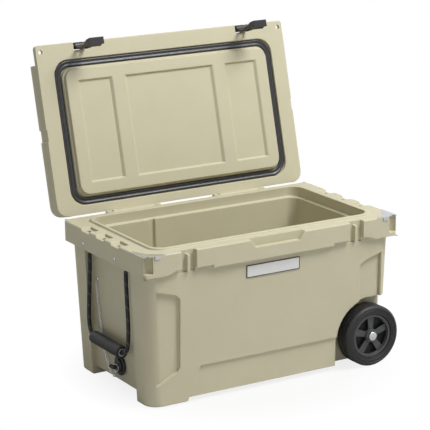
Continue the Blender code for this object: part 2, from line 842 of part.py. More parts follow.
def carve_tub(body):
    floor, ledge = tub_sections(0.0)
    lower = helper("ice space lower", loft((floor, (ledge[0], ledge[1] + LIFT))), body.parent)
    step = prism(step_outline(0.0), "Y", -RIM_BACK, RIM_BACK)
    boolean(lower, "DIFFERENCE", helper("ice space step", step, body.parent))
    boolean(body, "DIFFERENCE", lower)
    cut(body, "drain sump", sump(0.0))
    top = RIM_TOP + LIP_HEIGHT + LIFT
    cut(body, "ice space upper", loft(((tub_outline(0.0), ledge[1]), (tub_outline(0.0), top))))
    boolean(body, "DIFFERENCE", divider_groove("divider groove", 0.0, body.parent))


def end_face(height):
    """X of the end channel's floor at a height."""
    return CHANNEL_DEPTH - body_half(height)[0]


def add_leg(body, side):
    """Carries the walls down to the foot at a corner of the drain end."""
    low, top = FOOT_BOTTOM + LEG_EDGE, BODY_BOTTOM + BODY_EDGE
    sections = (
        (body_outline(low, LEG_EDGE), FOOT_BOTTOM),
        (body_outline(low + LEG_EDGE, LEG_EDGE * ROUND_MIDDLE), FOOT_BOTTOM + LEG_EDGE * ROUND_MIDDLE),
        (body_outline(low), low),
        (body_outline(top), top),
    )
    leg = helper(f"leg {side}", loft(sections), body.parent)
    corner = (
        (-RIM_END, FOOT_BOTTOM - LIFT),
        (LEG_LOW, FOOT_BOTTOM - LIFT),
        (BAND_LEFT_LOW, top + LIFT),
        (-RIM_END, top + LIFT),
    )
    low_y, high_y = sorted((side * LEG_INNER, side * RIM_BACK))
    boolean(leg, "INTERSECT", helper(f"leg {side} corner", prism(corner, "Y", low_y, high_y), body.parent))
    boolean(body, "UNION", leg)


def build_chest(root, tan, foam, tan_plug):
    body = part("body_shell", chest_form(), tan, root)
    for low_x, high_x in ear_places():
        add(body, f"hinge ear {low_x:.3f}", prism(ear_outline(), "X", low_x, high_x))
    for side in (-1, 1):
        add_leg(body, side)
    carve_walls(body)
    cut(body, "end arch", end_arch(0.0))
    for side in (-1, 1):
        seat = rod((FOOT_X, side * FOOT_Y), PAD_RADIUS + GAP, "Z", GROUND, FOOT_BOTTOM + PAD_SUNK + GAP)
        cut(body, f"foot seat {side}", seat)
    carve_rim(body)
    carve_tub(body)
    boolean(body, "DIFFERENCE", insulation("foam space", 0.0, lambda name, mesh: helper(name, mesh, root)))
    port_top = BODY_BOTTOM + 3 * SKIN
    cut(body, "body port", rod((BODY_PORT_X, 0.0), PORT_RADIUS, "Z", GROUND, port_top))
    bore = AXLE_RADIUS + RUNNING_GAP
    cut(body, "axle bore", rod((WHEEL_X, WHEEL_Z), bore, "Y", -RIM_BACK, RIM_BACK))
    y, z = HINGE_AXIS[1:]
    cut(body, "hinge bore", rod((y, z), HINGE_PIN_RADIUS + GAP, "X", -RIM_END, RIM_END))
    drain = rod((DRAIN_Y, DRAIN_Z), DRAIN_TUBE + GAP, "X", -RIM_END, -RIM_END / 2)
    cut(body, "drain hole", drain)
    for side in (-1, 1):
        hole = rod((ROPE_X, side * ROPE_Y), ROPE_RADIUS + GAP, "Z", RIM_BOTTOM - LIFT,
                   RIM_BOTTOM + ROPE_HOLE_DEPTH)
        cut(body, f"rope hole {side}", hole)
    for screw_y in ROPE_SCREW_Y:
        hole = rod((screw_y, ROPE_SCREW_Z), SCREW_SHANK + GAP, "X", -RIM_END - LIFT,
                   -RIM_END + SCREW_LENGTH + 2 * GAP, 16)
        cut(body, f"rope screw hole {screw_y}", hole)
    wall = end_face(ANCHOR_Z)
    hole = rod((ANCHOR_Y, ANCHOR_Z), SCREW_SHANK + GAP, "X", wall - LIFT, wall + SKIN + 2 * GAP, 16)
    cut(body, "anchor hole", hole)
    insulation("body_insulation", GAP, lambda name, mesh: part(name, mesh, foam, root))
    plug = turned(
        (
            (0, BODY_BOTTOM - PLUG_FLANGE / 2),
            (PORT_RADIUS - GAP, BODY_BOTTOM - PLUG_FLANGE / 2),
            (PORT_RADIUS - GAP, BODY_BOTTOM + 2 * SKIN - GAP),
            (0, BODY_BOTTOM + 2 * SKIN - GAP),
        ),
        (BODY_PORT_X, 0.0),
        "Z",
    )
    part("body_port_plug", plug, tan_plug, root)
    return body


# ---------------------------------------------------------------- lid


def lid_outline(grow, corner_shrink=0.0):
    return rounded_box(
        LID_END + grow,
        LID_FRONT - min(grow, 0.0),
        LID_BACK + min(grow, 0.0),
        LID_FRONT_CORNER - corner_shrink,
        LID_BACK_CORNER - corner_shrink,
    )


def lug_outline():
    """A lid lug in end view: a knuckle, a flat heel that meets the rim when open, and its web."""
    y, z = HINGE_AXIS[1:]
    stop = math.radians(180 + LID_OPEN_DEGREES)
    reach = HINGE_BEHIND - GAP
    foot = Vector((y + reach * math.cos(stop), z + reach * math.sin(stop)))
    along = Vector((-math.sin(stop), math.cos(stop)))
    heel = foot + along * HEEL_LENGTH
    top = z + LUG_HEIGHT
    start = 180 + LID_OPEN_DEGREES
    knuckle = arc((y, z), LUG_RADIUS, 180, start - 8, 8)
    inside = LID_BACK - LUG_RADIUS
    return [
        (inside, LID_BOTTOM + SKIN),
        (y - LUG_RADIUS, LID_BOTTOM + SKIN),
        *knuckle,
        tuple(foot),
        tuple(heel),
        (heel.x, z + LUG_RADIUS),
        (LID_BACK + SKIN / 2, top),
        (inside, top),
    ]


def gasket_outline(offset):
    """A line round the ice space, so far outside its edge."""
    return tub_outline(-offset)


def ring(inner, outer, low, high):
    """A flat ring between two outlines with as many points."""
    mesh = bmesh.new()
    loops = []
    for outline, height in ((inner, low), (outer, low), (outer, high), (inner, high)):
        loops.append([mesh.verts.new((*p, height)) for p in outline])
    for one, other in zip(loops, loops[1:] + loops[:1]):
        for index in range(len(one)):
            after = (index + 1) % len(one)
            mesh.faces.new((one[index], one[after], other[after], other[index]))
    bmesh.ops.recalc_face_normals(mesh, faces=mesh.faces)
    return mesh


def build_lid(lid_pivot, tan, foam, rubber, tan_plug):
    lid = part(
        "lid_shell",
        loft(
            (
                (lid_outline(0.0), LID_BOTTOM),
                (lid_outline(LID_BULGE / 2), LID_BOTTOM + LID_SWELL_LOW),
                (lid_outline(LID_BULGE), LID_BOTTOM + LID_SWELL_HIGH),
                (lid_outline(LID_BULGE), LID_TOP - LID_TOP_EDGE),
                (lid_outline(-ROUND_MIDDLE * LID_TOP_EDGE), LID_TOP - ROUND_MIDDLE * LID_TOP_EDGE),
                (lid_outline(-LID_TOP_EDGE, LID_FRONT_CORNER / 2), LID_TOP),
            )
        ),
        tan,
        lid_pivot,
    )
    pad = tub_outline(PAD_ROOM)
    pad_foot = tub_outline(PAD_ROOM + SKIN / 2)
    add(lid, "lid pad", loft(((pad_foot, LID_BOTTOM - PAD_DROP), (pad, LID_BOTTOM + SKIN))))
    panels = ((-END_PANEL_X, END_PANEL), (0.0, MIDDLE_PANEL), (END_PANEL_X, END_PANEL))
    for x, width in panels:
        sections = []
        for depth in (0.0, PANEL_DEPTH):
            share = depth / PANEL_DEPTH
            half = width / 2 - share * PANEL_SLOPE
            front, back = PANEL_FRONT + share * PANEL_DRAFT, PANEL_BACK - share * PANEL_DRAFT
            outline = ((x - half, front), (x + half, front), (x + half, back), (x - half, back))
            sections.append((outline, LID_BOTTOM - PAD_DROP + depth))
        mouth = (sections[0][0], LID_BOTTOM - PAD_DROP - LIFT)
        cut(lid, f"lid panel {x:+.1f}", loft((mouth, *sections)))
    offset = LIP_WIDTH / 2
    inner = gasket_outline(offset - GASKET_WIDTH / 2 - GASKET_ROOM)
    outer = gasket_outline(offset + GASKET_WIDTH / 2 + GASKET_ROOM)
    cut(lid, "gasket groove", ring(inner, outer, LID_BOTTOM - LIFT, LID_BOTTOM + GROOVE_DEPTH))
    for side in (-1, 1):
        name = "left" if side < 0 else "right"
        past = LID_END + 2 * LID_BULGE
        low_x, high_x = sorted((side * (LID_END - FLANGE_ALONG), side * past))
        corner = block(
            (low_x, LID_FRONT - LIFT, LID_BOTTOM + FLANGE_THICK),
            (high_x, LID_FRONT + FLANGE_ACROSS, LID_TOP + LIFT),
        )
        cut(lid, f"lid corner {name}", corner)
        hole = rod((side * LOCK_X, LOCK_Y), LOCK_RADIUS, "Z", LID_BOTTOM - LIFT, LID_TOP)
        cut(lid, f"lock hole {name}", hole)
        low_x, high_x = sorted((side * (LATCH_X - LATCH_NOTCH / 2), side * (LATCH_X + LATCH_NOTCH / 2)))
        notch = block(
            (low_x, LID_FRONT - 2 * LIFT, LID_BOTTOM - LIFT),
            (high_x, LID_FRONT + LATCH_NOTCH_DEPTH, LID_TOP + LIFT),
        )
        cut(lid, f"latch notch {name}", notch)
        half = LATCH_NOTCH / 2 + LATCH_PIN_BITE + GAP
        bore = rod((LATCH_Y, LATCH_Z), LATCH_PIN_RADIUS + GAP, "X", side * LATCH_X - half,
                   side * LATCH_X + half, 16)
        cut(lid, f"latch bore {name}", bore)
        low_x, high_x = sorted((side * (LID_END - STRAP_GROOVE_DEPTH + LID_BULGE), side * past))
        strap = block(
            (low_x, STRAP_GROOVE_Y - STRAP_GROOVE_WIDTH / 2, LID_BOTTOM - LIFT),
            (high_x, STRAP_GROOVE_Y + STRAP_GROOVE_WIDTH / 2, LID_TOP + LIFT),
        )
        cut(lid, f"strap groove {name}", strap)
        low_x, high_x = sorted((side * LUG_INNER, side * (LUG_INNER + LUG_WIDTH)))
        add(lid, f"hinge lug {name}", prism(lug_outline(), "X", low_x, high_x))
    y, z = HINGE_AXIS[1:]
    cut(lid, "lug bore", rod((y, z), HINGE_PIN_RADIUS + GAP, "X", -RIM_END, RIM_END))

    def foam_block(clearance):
        draw_in = LID_SKIN + FLANGE_ACROSS + clearance
        outline = rounded_box(
            LID_END - 2 * LID_SKIN - clearance,
            LID_FRONT + draw_in,
            LID_BACK - 2 * LID_SKIN - clearance,
            LID_BACK_CORNER / 2,
            LID_BACK_CORNER,
        )
        low = LID_BOTTOM + GROOVE_DEPTH + LID_SKIN + clearance
        return prism(outline, "Z", low, LID_TOP - LID_SKIN - clearance)

    cut(lid, "lid foam space", foam_block(0.0))
    port_z = LID_TOP - LID_THICK / 2 + LID_SKIN
    cut(lid, "lid port", rod((0.0, port_z), PORT_RADIUS / 2, "Y", LID_BACK - 3 * LID_SKIN, LID_BACK + LIFT))
    part("lid_insulation", foam_block(GAP), foam, lid_pivot)
    plug = rod((0.0, port_z), PORT_RADIUS / 2 - GAP, "Y", LID_BACK - 2 * LID_SKIN + GAP, LID_BACK)
    part("lid_port_plug", plug, tan_plug, lid_pivot)
    inner = gasket_outline(offset - GASKET_WIDTH / 2)
    outer = gasket_outline(offset + GASKET_WIDTH / 2)
    low = RIM_TOP + LIP_HEIGHT + GAP
    part("lid_gasket", ring(inner, outer, low, low + GASKET_THICK), rubber, lid_pivot)
    return lid


def build_hinge_pins(root, steel):
    for side in (-1, 1):
        inner = side * (LUG_INNER - LUG_SIDE_GAP - EAR_WIDTH)
        outer = side * (LUG_INNER + LUG_WIDTH + LUG_SIDE_GAP + EAR_WIDTH + GAP)
        head = outer + side * HINGE_PIN_HEAD_THICK
        profile = (
            (0, inner),
            (HINGE_PIN_RADIUS, inner),
            (HINGE_PIN_RADIUS, outer),
            (HINGE_PIN_HEAD, outer),
            (HINGE_PIN_HEAD, head),
            (0, head),
        )
        name = "hinge_pin_left" if side < 0 else "hinge_pin_right"
        part(name, turned(profile, HINGE_AXIS[1:], "X", 24), steel, root)


def build_latches(lid_pivot, rubber, steel):
    for side in (-1, 1):
        name = "left" if side < 0 else "right"
        middle = side * LATCH_X
        swing = pivot(f"latch pivot {name}", (middle, LATCH_Y, LATCH_Z), lid_pivot)
        half = LATCH_WIDTH / 2
        line = [(LATCH_Y + y, LATCH_Z + z) for y, z in STRAP_LINE]
        strap = prism(strip(line, LATCH_THICK / 2), "X", middle - half, middle + half)
        latch = part(f"latch_{name}", strap, rubber, swing)
        base = rod((LATCH_Y, LATCH_Z), LATCH_BASE_RADIUS, "X", middle - half, middle + half, 24)
        add(latch, f"latch base {name}", base)
        slot = block(
            (middle - LATCH_SLOT_WIDTH / 2, LATCH_Y - LATCH_GRIP_WIDTH, LATCH_Z - LATCH_SLOT_BOTTOM),
            (middle + LATCH_SLOT_WIDTH / 2, LATCH_Y + LATCH_GRIP_WIDTH, LATCH_Z - LATCH_SLOT_TOP),
        )
        cut(latch, f"latch slot {name}", slot)
        wide = LATCH_GRIP_WIDTH / 2
        outline = [(LATCH_Y + y, LATCH_Z + z) for y, z in GRIP_OUTLINE]
        add(latch, f"latch grip {name}", prism(outline, "X", middle - wide, middle + wide))
        bore = rod((LATCH_Y, LATCH_Z), LATCH_PIN_RADIUS + GAP, "X", middle - wide, middle + wide, 16)
        cut(latch, f"latch eye {name}", bore)
        reach = LATCH_NOTCH / 2 + LATCH_PIN_BITE
        pin = rod((LATCH_Y, LATCH_Z), LATCH_PIN_RADIUS, "X", middle - reach, middle + reach, 16)
        part(f"latch_pin_{name}", pin, steel, lid_pivot)


# ---------------------------------------------------------------- fittings


def plate_outline(side, grow=0.0):
    """A corner plate from above: a triangle with blunt tips and a hollow inner edge."""
    corner_x, corner_y = RIM_END - GAP + grow, RIM_FRONT + GAP - grow
    waist_x, waist_y = PLATE_WAIST * PLATE_ALONG, PLATE_WAIST * PLATE_ACROSS
    points = (
        (corner_x - RIM_CORNER / 3, corner_y),
        (corner_x, corner_y + RIM_CORNER / 3),
        (corner_x, corner_y + PLATE_ACROSS + 2 * grow),
        (corner_x - PLATE_TIP - grow, corner_y + PLATE_ACROSS + 2 * grow),
        (corner_x - waist_x - grow, corner_y + waist_y + grow),
        (corner_x - PLATE_ALONG - 2 * grow, corner_y + PLATE_TIP + grow),
        (corner_x - PLATE_ALONG - 2 * grow, corner_y),
    )
    return [(side * x, y) for x, y in points]


def build_plates(root, steel):
    for side in (-1, 1):
        name = "left" if side < 0 else "right"
        low = RIM_TOP - PLATE_SUNK
        plate = part(
            f"corner_plate_{name}", prism(plate_outline(side), "Z", low, low + PLATE_THICK), steel, root
        )
        inner = RIM_END - PLATE_ALONG + TONGUE_WIDTH
        low_x, high_x = sorted((side * inner, side * (inner + TONGUE_WIDTH)))
        front = RIM_FRONT - PLATE_THICK - GAP
        tongue = block((low_x, front, low - TONGUE_DROP), (high_x, RIM_FRONT - GAP, low + PLATE_THICK))
        add(plate, f"plate tongue {name}", tongue)
        bridge = block((low_x, front, low), (high_x, RIM_FRONT + 2 * PLATE_THICK, low + PLATE_THICK))
        add(plate, f"plate bend {name}", bridge)
        hole = rod((side * LOCK_X, LOCK_Y), LOCK_RADIUS, "Z", low - LIFT, low + PLATE_THICK + LIFT, 24)
        cut(plate, f"plate hole {name}", hole)


def build_badge(root, badge_finish):
    """A blank badge, flat on the leaning front wall."""
    face = -body_half(BADGE_Z)[1] - GAP
    lean = math.atan2(BODY_DRAFT, RIM_BOTTOM - BODY_BOTTOM)
    half = BADGE_WIDTH / 2
    outline = rounded_box(half, -BADGE_HEIGHT / 2, BADGE_HEIGHT / 2, BADGE_CORNER, BADGE_CORNER)
    mesh = prism(outline, "Y", -BADGE_THICK, 0.0)
    turn = Matrix.Rotation(lean, 4, "X")
    bmesh.ops.transform(mesh, matrix=Matrix.Translation((0.0, face, BADGE_Z)) @ turn, verts=mesh.verts)
    part("badge", mesh, badge_finish, root)


def build_feet(root, rubber):
    for side in (-1, 1):
        name = "foot_front" if side < 0 else "foot_back"
        top = FOOT_BOTTOM + PAD_SUNK
        profile = (
            (0, GROUND),
            (PAD_RADIUS - RUBBER_EDGE, GROUND),
            (PAD_RADIUS, GROUND + RUBBER_EDGE),
            (PAD_RADIUS, top),
            (0, top),
        )
        part(name, turned(profile, (FOOT_X, side * FOOT_Y), "Z"), rubber, root)


def tyre_profile(outer, inner):
    """A tyre's section as (radius, Y), with rounded shoulders."""
    top = WHEEL_RADIUS
    bottom = WHEEL_RADIUS - TYRE_THICK
    inward = 1 if inner > outer else -1
    shoulder = TYRE_SHOULDER
    middle = ROUND_MIDDLE * shoulder
    return (
        (bottom, outer + inward * TYRE_DISH),
        (top - shoulder, outer),
        (top - middle, outer + inward * middle),
        (top, outer + inward * shoulder),
        (top, inner - inward * shoulder),
        (top - middle, inner - inward * middle),
        (top - shoulder, inner),
        (bottom, inner - inward * TYRE_DISH),
    )


def build_wheels(root, rubber, hub_finish, steel):
    centre = (WHEEL_X, WHEEL_Z)
    for side in (-1, 1):
        name = "front" if side < 0 else "back"
        outer = side * (RIM_BACK - WHEEL_FACE)
        inner = outer - side * WHEEL_WIDTH
        spin = pivot(f"wheel pivot {name}", (WHEEL_X, outer, WHEEL_Z), root)
        part(f"tyre_{name}", turned(tyre_profile(outer, inner), centre, "Y", 48), rubber, spin)
        build_hub(name, side, outer, inner, hub_finish, spin)
        wall = side * (well_inner() + GAP)
        washer = (
            (AXLE_RADIUS + RUNNING_GAP, wall),
            (WASHER_RADIUS, wall),
            (WASHER_RADIUS, wall + side * WASHER_THICK),
            (AXLE_RADIUS + RUNNING_GAP, wall + side * WASHER_THICK),
        )
        part(f"washer_{name}", turned(washer, centre, "Y", 24), steel, root)
        cap_low = outer - side * (CAP_SKIRT - CAP_PAST)
        tip = outer + side * CAP_PAST
        under = tip - side * CAP_THICK
        cap = (
            (0, tip),
            (0.6 * CAP_RADIUS, tip),
            (CAP_RADIUS, tip - side * CAP_EDGE),
            (CAP_RADIUS, cap_low),
            (AXLE_RADIUS + GAP, cap_low),
            (AXLE_RADIUS + GAP, under),
            (0, under),
        )
        part(f"axle_cap_{name}", turned(cap, centre, "Y", 24), steel, root)
    end = RIM_BACK - WHEEL_FACE + CAP_PAST - CAP_THICK - GAP
    part("axle", rod(centre, AXLE_RADIUS, "Y", -end, end, 24), steel, root)


def build_hub(name, side, outer, inner, hub_finish, spin):
    """A hub: rim, boss and a web between them with a hollow between each pair of spokes."""
    rim_radius = WHEEL_RADIUS - TYRE_THICK - GAP
    open_radius = rim_radius - HUB_RIM
    bore = AXLE_RADIUS + RUNNING_GAP
    face = outer - side * HUB_FACE_SUNK
    back = inner + side * HUB_BACK_SUNK
    boss_face = outer - side * (CAP_SKIRT - CAP_PAST + RUNNING_GAP)
    boss_back = side * (well_inner() + GAP + WASHER_THICK + RUNNING_GAP)
    web = outer - side * WEB_SUNK
    web_back = web - side * WEB_THICK
    profile = (
        (bore, boss_face),
        (HUB_BOSS, boss_face),
        (HUB_BOSS, web),
        (open_radius, web),
        (open_radius, face),
        (rim_radius, face),
        (rim_radius, back),
        (open_radius, back),
        (open_radius, web_back),
        (HUB_BOSS, web_back),
        (HUB_BOSS, boss_back),
        (bore, boss_back),
    )
    centre = (WHEEL_X, WHEEL_Z)
    hub = part(f"hub_{name}", turned(profile, centre, "Y"), hub_finish, spin)
    low, high = sorted((web + side * LIFT, web_back + side * WEB_FLOOR))
    edges = ((HUB_BOSS + LIFT, SPOKE_AT_BOSS, 1), (open_radius - LIFT, SPOKE_AT_RIM, -1))
    for spoke in range(SPOKES):
        middle = 90 + 360 / SPOKES * (spoke + 0.5)
        outline = []
        for radius, width, way in edges:
            half = way * (180 / SPOKES - math.degrees(math.asin(width / 2 / radius)))
            outline += arc(centre, radius, middle - half, middle + half, 3)
        cut(hub, f"hub hollow {name} {spoke}", prism(outline, "Y", low, high))


def screw_profile(head_out, seat, end):
    """A pan head screw along an axis, from the top of its head to the tip of its shank."""
    return (
        (0, head_out),
        (0.7 * SCREW_HEAD, head_out),
        (SCREW_HEAD, head_out + 0.5 * (seat - head_out)),
        (SCREW_HEAD, seat),
        (SCREW_SHANK, seat),
        (SCREW_SHANK, end),
        (0, end),
    )


def build_handle(root, rope_finish, rubber, steel):
    swing = pivot("tow handle pivot", (ROPE_X, 0.0, ROPE_PIVOT_Z), root)
    front = [(x, -y, z) for x, y, z in ROPE_ROUTE[:-1]]
    route = [*ROPE_ROUTE, *front[::-1]]
    tube("tow_rope", route, ROPE_RADIUS, ROPE_STEP, rope_finish, swing, round_ends=True)
    half = GRIP_LENGTH / 2
    bore = GRIP_BORE_SHARE * ROPE_RADIUS
    grip = (
        (bore, -half),
        (GRIP_RADIUS - RUBBER_EDGE, -half),
        (GRIP_RADIUS, -half + RUBBER_EDGE),
        (GRIP_RADIUS, half - RUBBER_EDGE),
        (GRIP_RADIUS - RUBBER_EDGE, half),
        (bore, half),
    )
    part("tow_grip", turned(grip, (GRIP_X, GRIP_Z), "Y"), rubber, swing)
    for side in (-1, 1):
        name = "rope_end_front" if side < 0 else "rope_end_back"
        high = RIM_BOTTOM + ROPE_HOLE_DEPTH - GAP
        stub = rod((ROPE_X, side * ROPE_Y), ROPE_RADIUS, "Z", RIM_BOTTOM, high, 12)
        part(name, stub, rope_finish, root)
    for screw_y in ROPE_SCREW_Y:
        name = "rope_screw_front" if screw_y < 0 else "rope_screw_back"
        seat = -RIM_END - GAP
        profile = screw_profile(seat - SCREW_HEAD_HEIGHT, seat, -RIM_END + SCREW_LENGTH)
        part(name, turned(profile, (screw_y, ROPE_SCREW_Z), "X", 16), steel, root)


def build_drain(root, plastic, rubber, steel):
    centre = (DRAIN_Y, DRAIN_Z)
    wall = end_face(DRAIN_Z + DRAIN_FLANGE)
    seal_out = wall - GAP - DRAIN_SEAL_THICK
    flange_in = seal_out - GAP
    flange_out = flange_in - DRAIN_FLANGE_THICK
    tub_wall = -tub_wall_at(TUB_FLOOR)
    tube_end = tub_wall + GAP + DRAIN_NUT_THICK
    seal = (
        (DRAIN_TUBE + GAP, seal_out),
        (DRAIN_FLANGE - DRAIN_SEAL_IN, seal_out),
        (DRAIN_FLANGE - DRAIN_SEAL_IN, wall - GAP),
        (DRAIN_TUBE + GAP, wall - GAP),
    )
    part("drain_gasket", turned(seal, centre, "X"), rubber, root)
    fitting = (
        (DRAIN_BORE, flange_out),
        (DRAIN_FLANGE - DRAIN_EDGE, flange_out),
        (DRAIN_FLANGE, flange_out + DRAIN_EDGE),
        (DRAIN_FLANGE, flange_in),
        (DRAIN_TUBE, flange_in),
        (DRAIN_TUBE, tube_end),
        (DRAIN_BORE, tube_end),
    )
    part("drain_fitting", turned(fitting, centre, "X"), plastic, root)
    nut = rod(centre, DRAIN_NUT_RADIUS, "X", tub_wall + GAP, tube_end, 6)
    nut_part = part("drain_nut", nut, plastic, root)
    bore = rod(centre, DRAIN_TUBE + GAP, "X", tub_wall - LIFT, tube_end + LIFT)
    cut(nut_part, "drain nut bore", bore)
    slide = pivot("plug ring pivot", (flange_out, *centre), root)
    turn = pivot("drain plug pivot", (flange_out, *centre), slide)
    head_in = flange_out - GAP
    head_out = head_in - PLUG_HEAD_THICK
    shank = DRAIN_BORE - RUNNING_GAP
    profile = (
        (0, head_out - STEM_LENGTH - LIFT),
        (STEM_RADIUS, head_out - STEM_LENGTH - LIFT),
        (STEM_RADIUS, head_out),
        (PLUG_HEAD - DRAIN_EDGE, head_out),
        (PLUG_HEAD, head_out + DRAIN_EDGE),
        (PLUG_HEAD, head_in),
        (shank, head_in),
        (shank, head_in + PLUG_SHANK),
        (0, head_in + PLUG_SHANK),
    )
    plug = part("drain_plug", turned(profile, centre, "X"), plastic, turn)
    wing = block(
        (head_out - STEM_LENGTH - WING_LENGTH, DRAIN_Y - WING_WIDTH / 2, DRAIN_Z - WING_THICK / 2),
        (head_out - STEM_LENGTH, DRAIN_Y + WING_WIDTH / 2, DRAIN_Z + WING_THICK / 2),
    )
    add(plug, "plug wing", wing)
    ring_mesh = turned(circle((RING_RADIUS, 0.0), RING_WIRE, 8), (0.0, 0.0), "X", 28)
    hang = RING_RADIUS - RING_WIRE - STEM_RADIUS - GAP
    place = Matrix.Translation((head_out - STEM_LENGTH / 2, DRAIN_Y, DRAIN_Z - hang))
    yaw = Matrix.Rotation(math.radians(RING_YAW_DEGREES), 4, "Z")
    bmesh.ops.transform(ring_mesh, matrix=place @ yaw, verts=ring_mesh.verts)
    part("plug_ring", ring_mesh, steel, slide)
    tube("plug_chain", CHAIN_ROUTE, CHAIN_RADIUS, 5 * CHAIN_RADIUS, steel, root)
    wall = end_face(ANCHOR_Z)
    profile = screw_profile(wall - GAP - SCREW_HEAD_HEIGHT, wall - GAP, wall + SKIN)
    part("chain_screw", turned(profile, (ANCHOR_Y, ANCHOR_Z), "X", 16), steel, root)


def tub_wall_at(height):
    """X distance of the ice space's end wall from the middle at a height below the ledge."""
    ledge = RIM_TOP - LEDGE_DROP
    share = (ledge - height) / (ledge - TUB_FLOOR)
    return RIM_END - END_WALL - LEDGE_WIDTH - TUB_DRAFT * share


# ---------------------------------------------------------------- assembly


def clear_scene():
    for obj in list(bpy.data.objects):
        bpy.data.objects.remove(obj)


def stand_over_origin(root):
    """Puts the origin under the middle of the open chest's outline, which its cords don't widen."""
    bpy.context.view_layer.update()
    graph = bpy.context.evaluated_depsgraph_get()
    places = []
    for obj in bpy.data.objects:
        if obj.type == "MESH" and not obj.hide_render:
            mesh = obj.evaluated_get(graph).to_mesh()
            places += [obj.matrix_world @ vertex.co for vertex in mesh.vertices]
    for axis in (0, 1):
        low = min(place[axis] for place in places)
        high = max(place[axis] for place in places)
        root.location[axis] = -round((low + high) / 2, 4)
    root.location.z = -GROUND


def build():
    clear_scene()
    tan = finish("sand polyethylene", (0.47, 0.43, 0.31), 0.55)
    tan_plug = finish("sand plug", (0.42, 0.38, 0.27), 0.6)
    foam = finish("polyurethane foam", (0.80, 0.72, 0.45), 0.9)
    rubber = finish("black rubber", (0.02, 0.02, 0.022), 0.7)
    plastic = finish("black plastic", (0.03, 0.03, 0.032), 0.5)
    hub_finish = finish("grey plastic", (0.085, 0.085, 0.09), 0.5)
    rope = finish("black braided rope", (0.015, 0.015, 0.017), 0.9)
    steel = finish("stainless steel", (0.62, 0.62, 0.62), 0.25, 1.0)
    badge = finish("pale badge", (0.75, 0.75, 0.74), 0.4)

    root = pivot("chest", (0.0, 0.0, 0.0))
    lid_pivot = pivot("lid pivot", HINGE_AXIS, root, -LID_OPEN_DEGREES)
    build_chest(root, tan, foam, tan_plug)
    build_lid(lid_pivot, tan, foam, rubber, tan_plug)
    build_hinge_pins(root, steel)
    build_latches(lid_pivot, rubber, steel)
    build_plates(root, steel)
    build_badge(root, badge)
    build_feet(root, rubber)
    build_wheels(root, rubber, hub_finish, steel)
    build_handle(root, rope, rubber, steel)
    build_drain(root, plastic, rubber, steel)
    stand_over_origin(root)


build()
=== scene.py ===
"""Looks for a wheeled ice chest: moulded shells, rubber, braid, chain, tread and steel.

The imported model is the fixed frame, and every size is in metres in its frame: +X runs towards the
wheels, the front faces -Y and +Z is up. Each sub-assembly is a class that models its pieces,
dresses them and hangs them on the bodies that carry them.
"""

import logging
import math
from dataclasses import dataclass
from enum import Enum
from typing import Callable, Iterable, Sequence

import bpy
from mathutils import Matrix, Vector
from mathutils.kdtree import KDTree


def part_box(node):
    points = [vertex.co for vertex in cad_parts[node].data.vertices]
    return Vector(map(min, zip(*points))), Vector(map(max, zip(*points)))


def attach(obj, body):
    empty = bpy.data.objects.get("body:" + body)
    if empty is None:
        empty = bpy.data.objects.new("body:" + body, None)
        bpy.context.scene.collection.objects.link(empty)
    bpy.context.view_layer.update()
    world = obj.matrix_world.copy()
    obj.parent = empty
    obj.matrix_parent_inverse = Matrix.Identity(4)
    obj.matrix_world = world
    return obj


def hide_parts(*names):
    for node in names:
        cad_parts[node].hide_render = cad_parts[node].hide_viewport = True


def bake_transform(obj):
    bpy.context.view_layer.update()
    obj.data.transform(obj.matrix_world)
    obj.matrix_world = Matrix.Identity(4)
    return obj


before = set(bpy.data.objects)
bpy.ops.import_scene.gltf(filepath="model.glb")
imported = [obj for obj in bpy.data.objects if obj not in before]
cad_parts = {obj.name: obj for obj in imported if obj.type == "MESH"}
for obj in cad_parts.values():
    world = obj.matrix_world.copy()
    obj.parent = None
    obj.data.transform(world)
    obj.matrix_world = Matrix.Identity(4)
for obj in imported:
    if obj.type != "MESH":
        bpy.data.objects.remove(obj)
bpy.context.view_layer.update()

LOG = logging.getLogger("ice_chest")

Point = tuple[float, float, float]
Pair = tuple[float, float]
Colour = tuple[float, float, float, float]
Piece = bpy.types.Object
Mesh = bpy.types.Mesh
Polygon = bpy.types.MeshPolygon
Node = bpy.types.Node
Socket = bpy.types.NodeSocket
Step = Callable[[], object]
SharpEdges = dict[int, list[Polygon]]  # the two faces of each, by its number
Spots = list[tuple[Vector, int]]  # points on edges, each with its edge's number

MIDDLE_Y = -0.0783  # of the chest, between its front and its back
HINGE = Vector((0.0, 0.1307, 0.3617))  # a point on the line that the lid turns about
LID_OPEN = math.radians(104.0)
WHITE = (1.0, 1.0, 1.0, 1.0)

WELD = 0.00002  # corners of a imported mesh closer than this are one
SEAM = 0.000005  # corners of a drawn mesh closer than this are one
FLAT_DEGREES = 0.5  # two faces that turn less than this are one
CURVE_STEPS = 20  # straight pieces between two points of a smooth line
NOISE_RANGE = (0.3, 0.7)  # where most of a noise's values lie
FACING = 0.9  # share of a face's normal along an axis from which the face looks that way

ROOM_REACH = 2.5  # how far a rounded edge looks for its neighbours, in widths of the rounding
ROOM_STEPS = 8  # places it looks at on the way
ROOM_SHARE = 0.4  # share of the space up to a neighbour that a rounding may fill
FOLD_DEGREES = 120.0  # two faces that turn more than this have folded over each other
FOLD_REACH = 1.2  # how far from a fold roundings are narrowed, in widths of the rounding
NARROWER = 0.5  # how much they are narrowed
SOFTEN_TRIES = 6  # times that a rounding is drawn before its last folds are left


class Axis(Enum):
    """An axis that a turned piece is spun round."""

    X = 0
    Y = 1
    Z = 2

    def put(self, others: Pair, height: float) -> Point:
        """A point at a height along the axis, with the other two coordinates in X, Y, Z order."""
        place = list(others)
        place.insert(self.value, height)
        return tuple(place)


class Hand(Enum):
    """Which end of the chest a piece is at, as its sign along X."""

    LEFT = -1
    RIGHT = 1


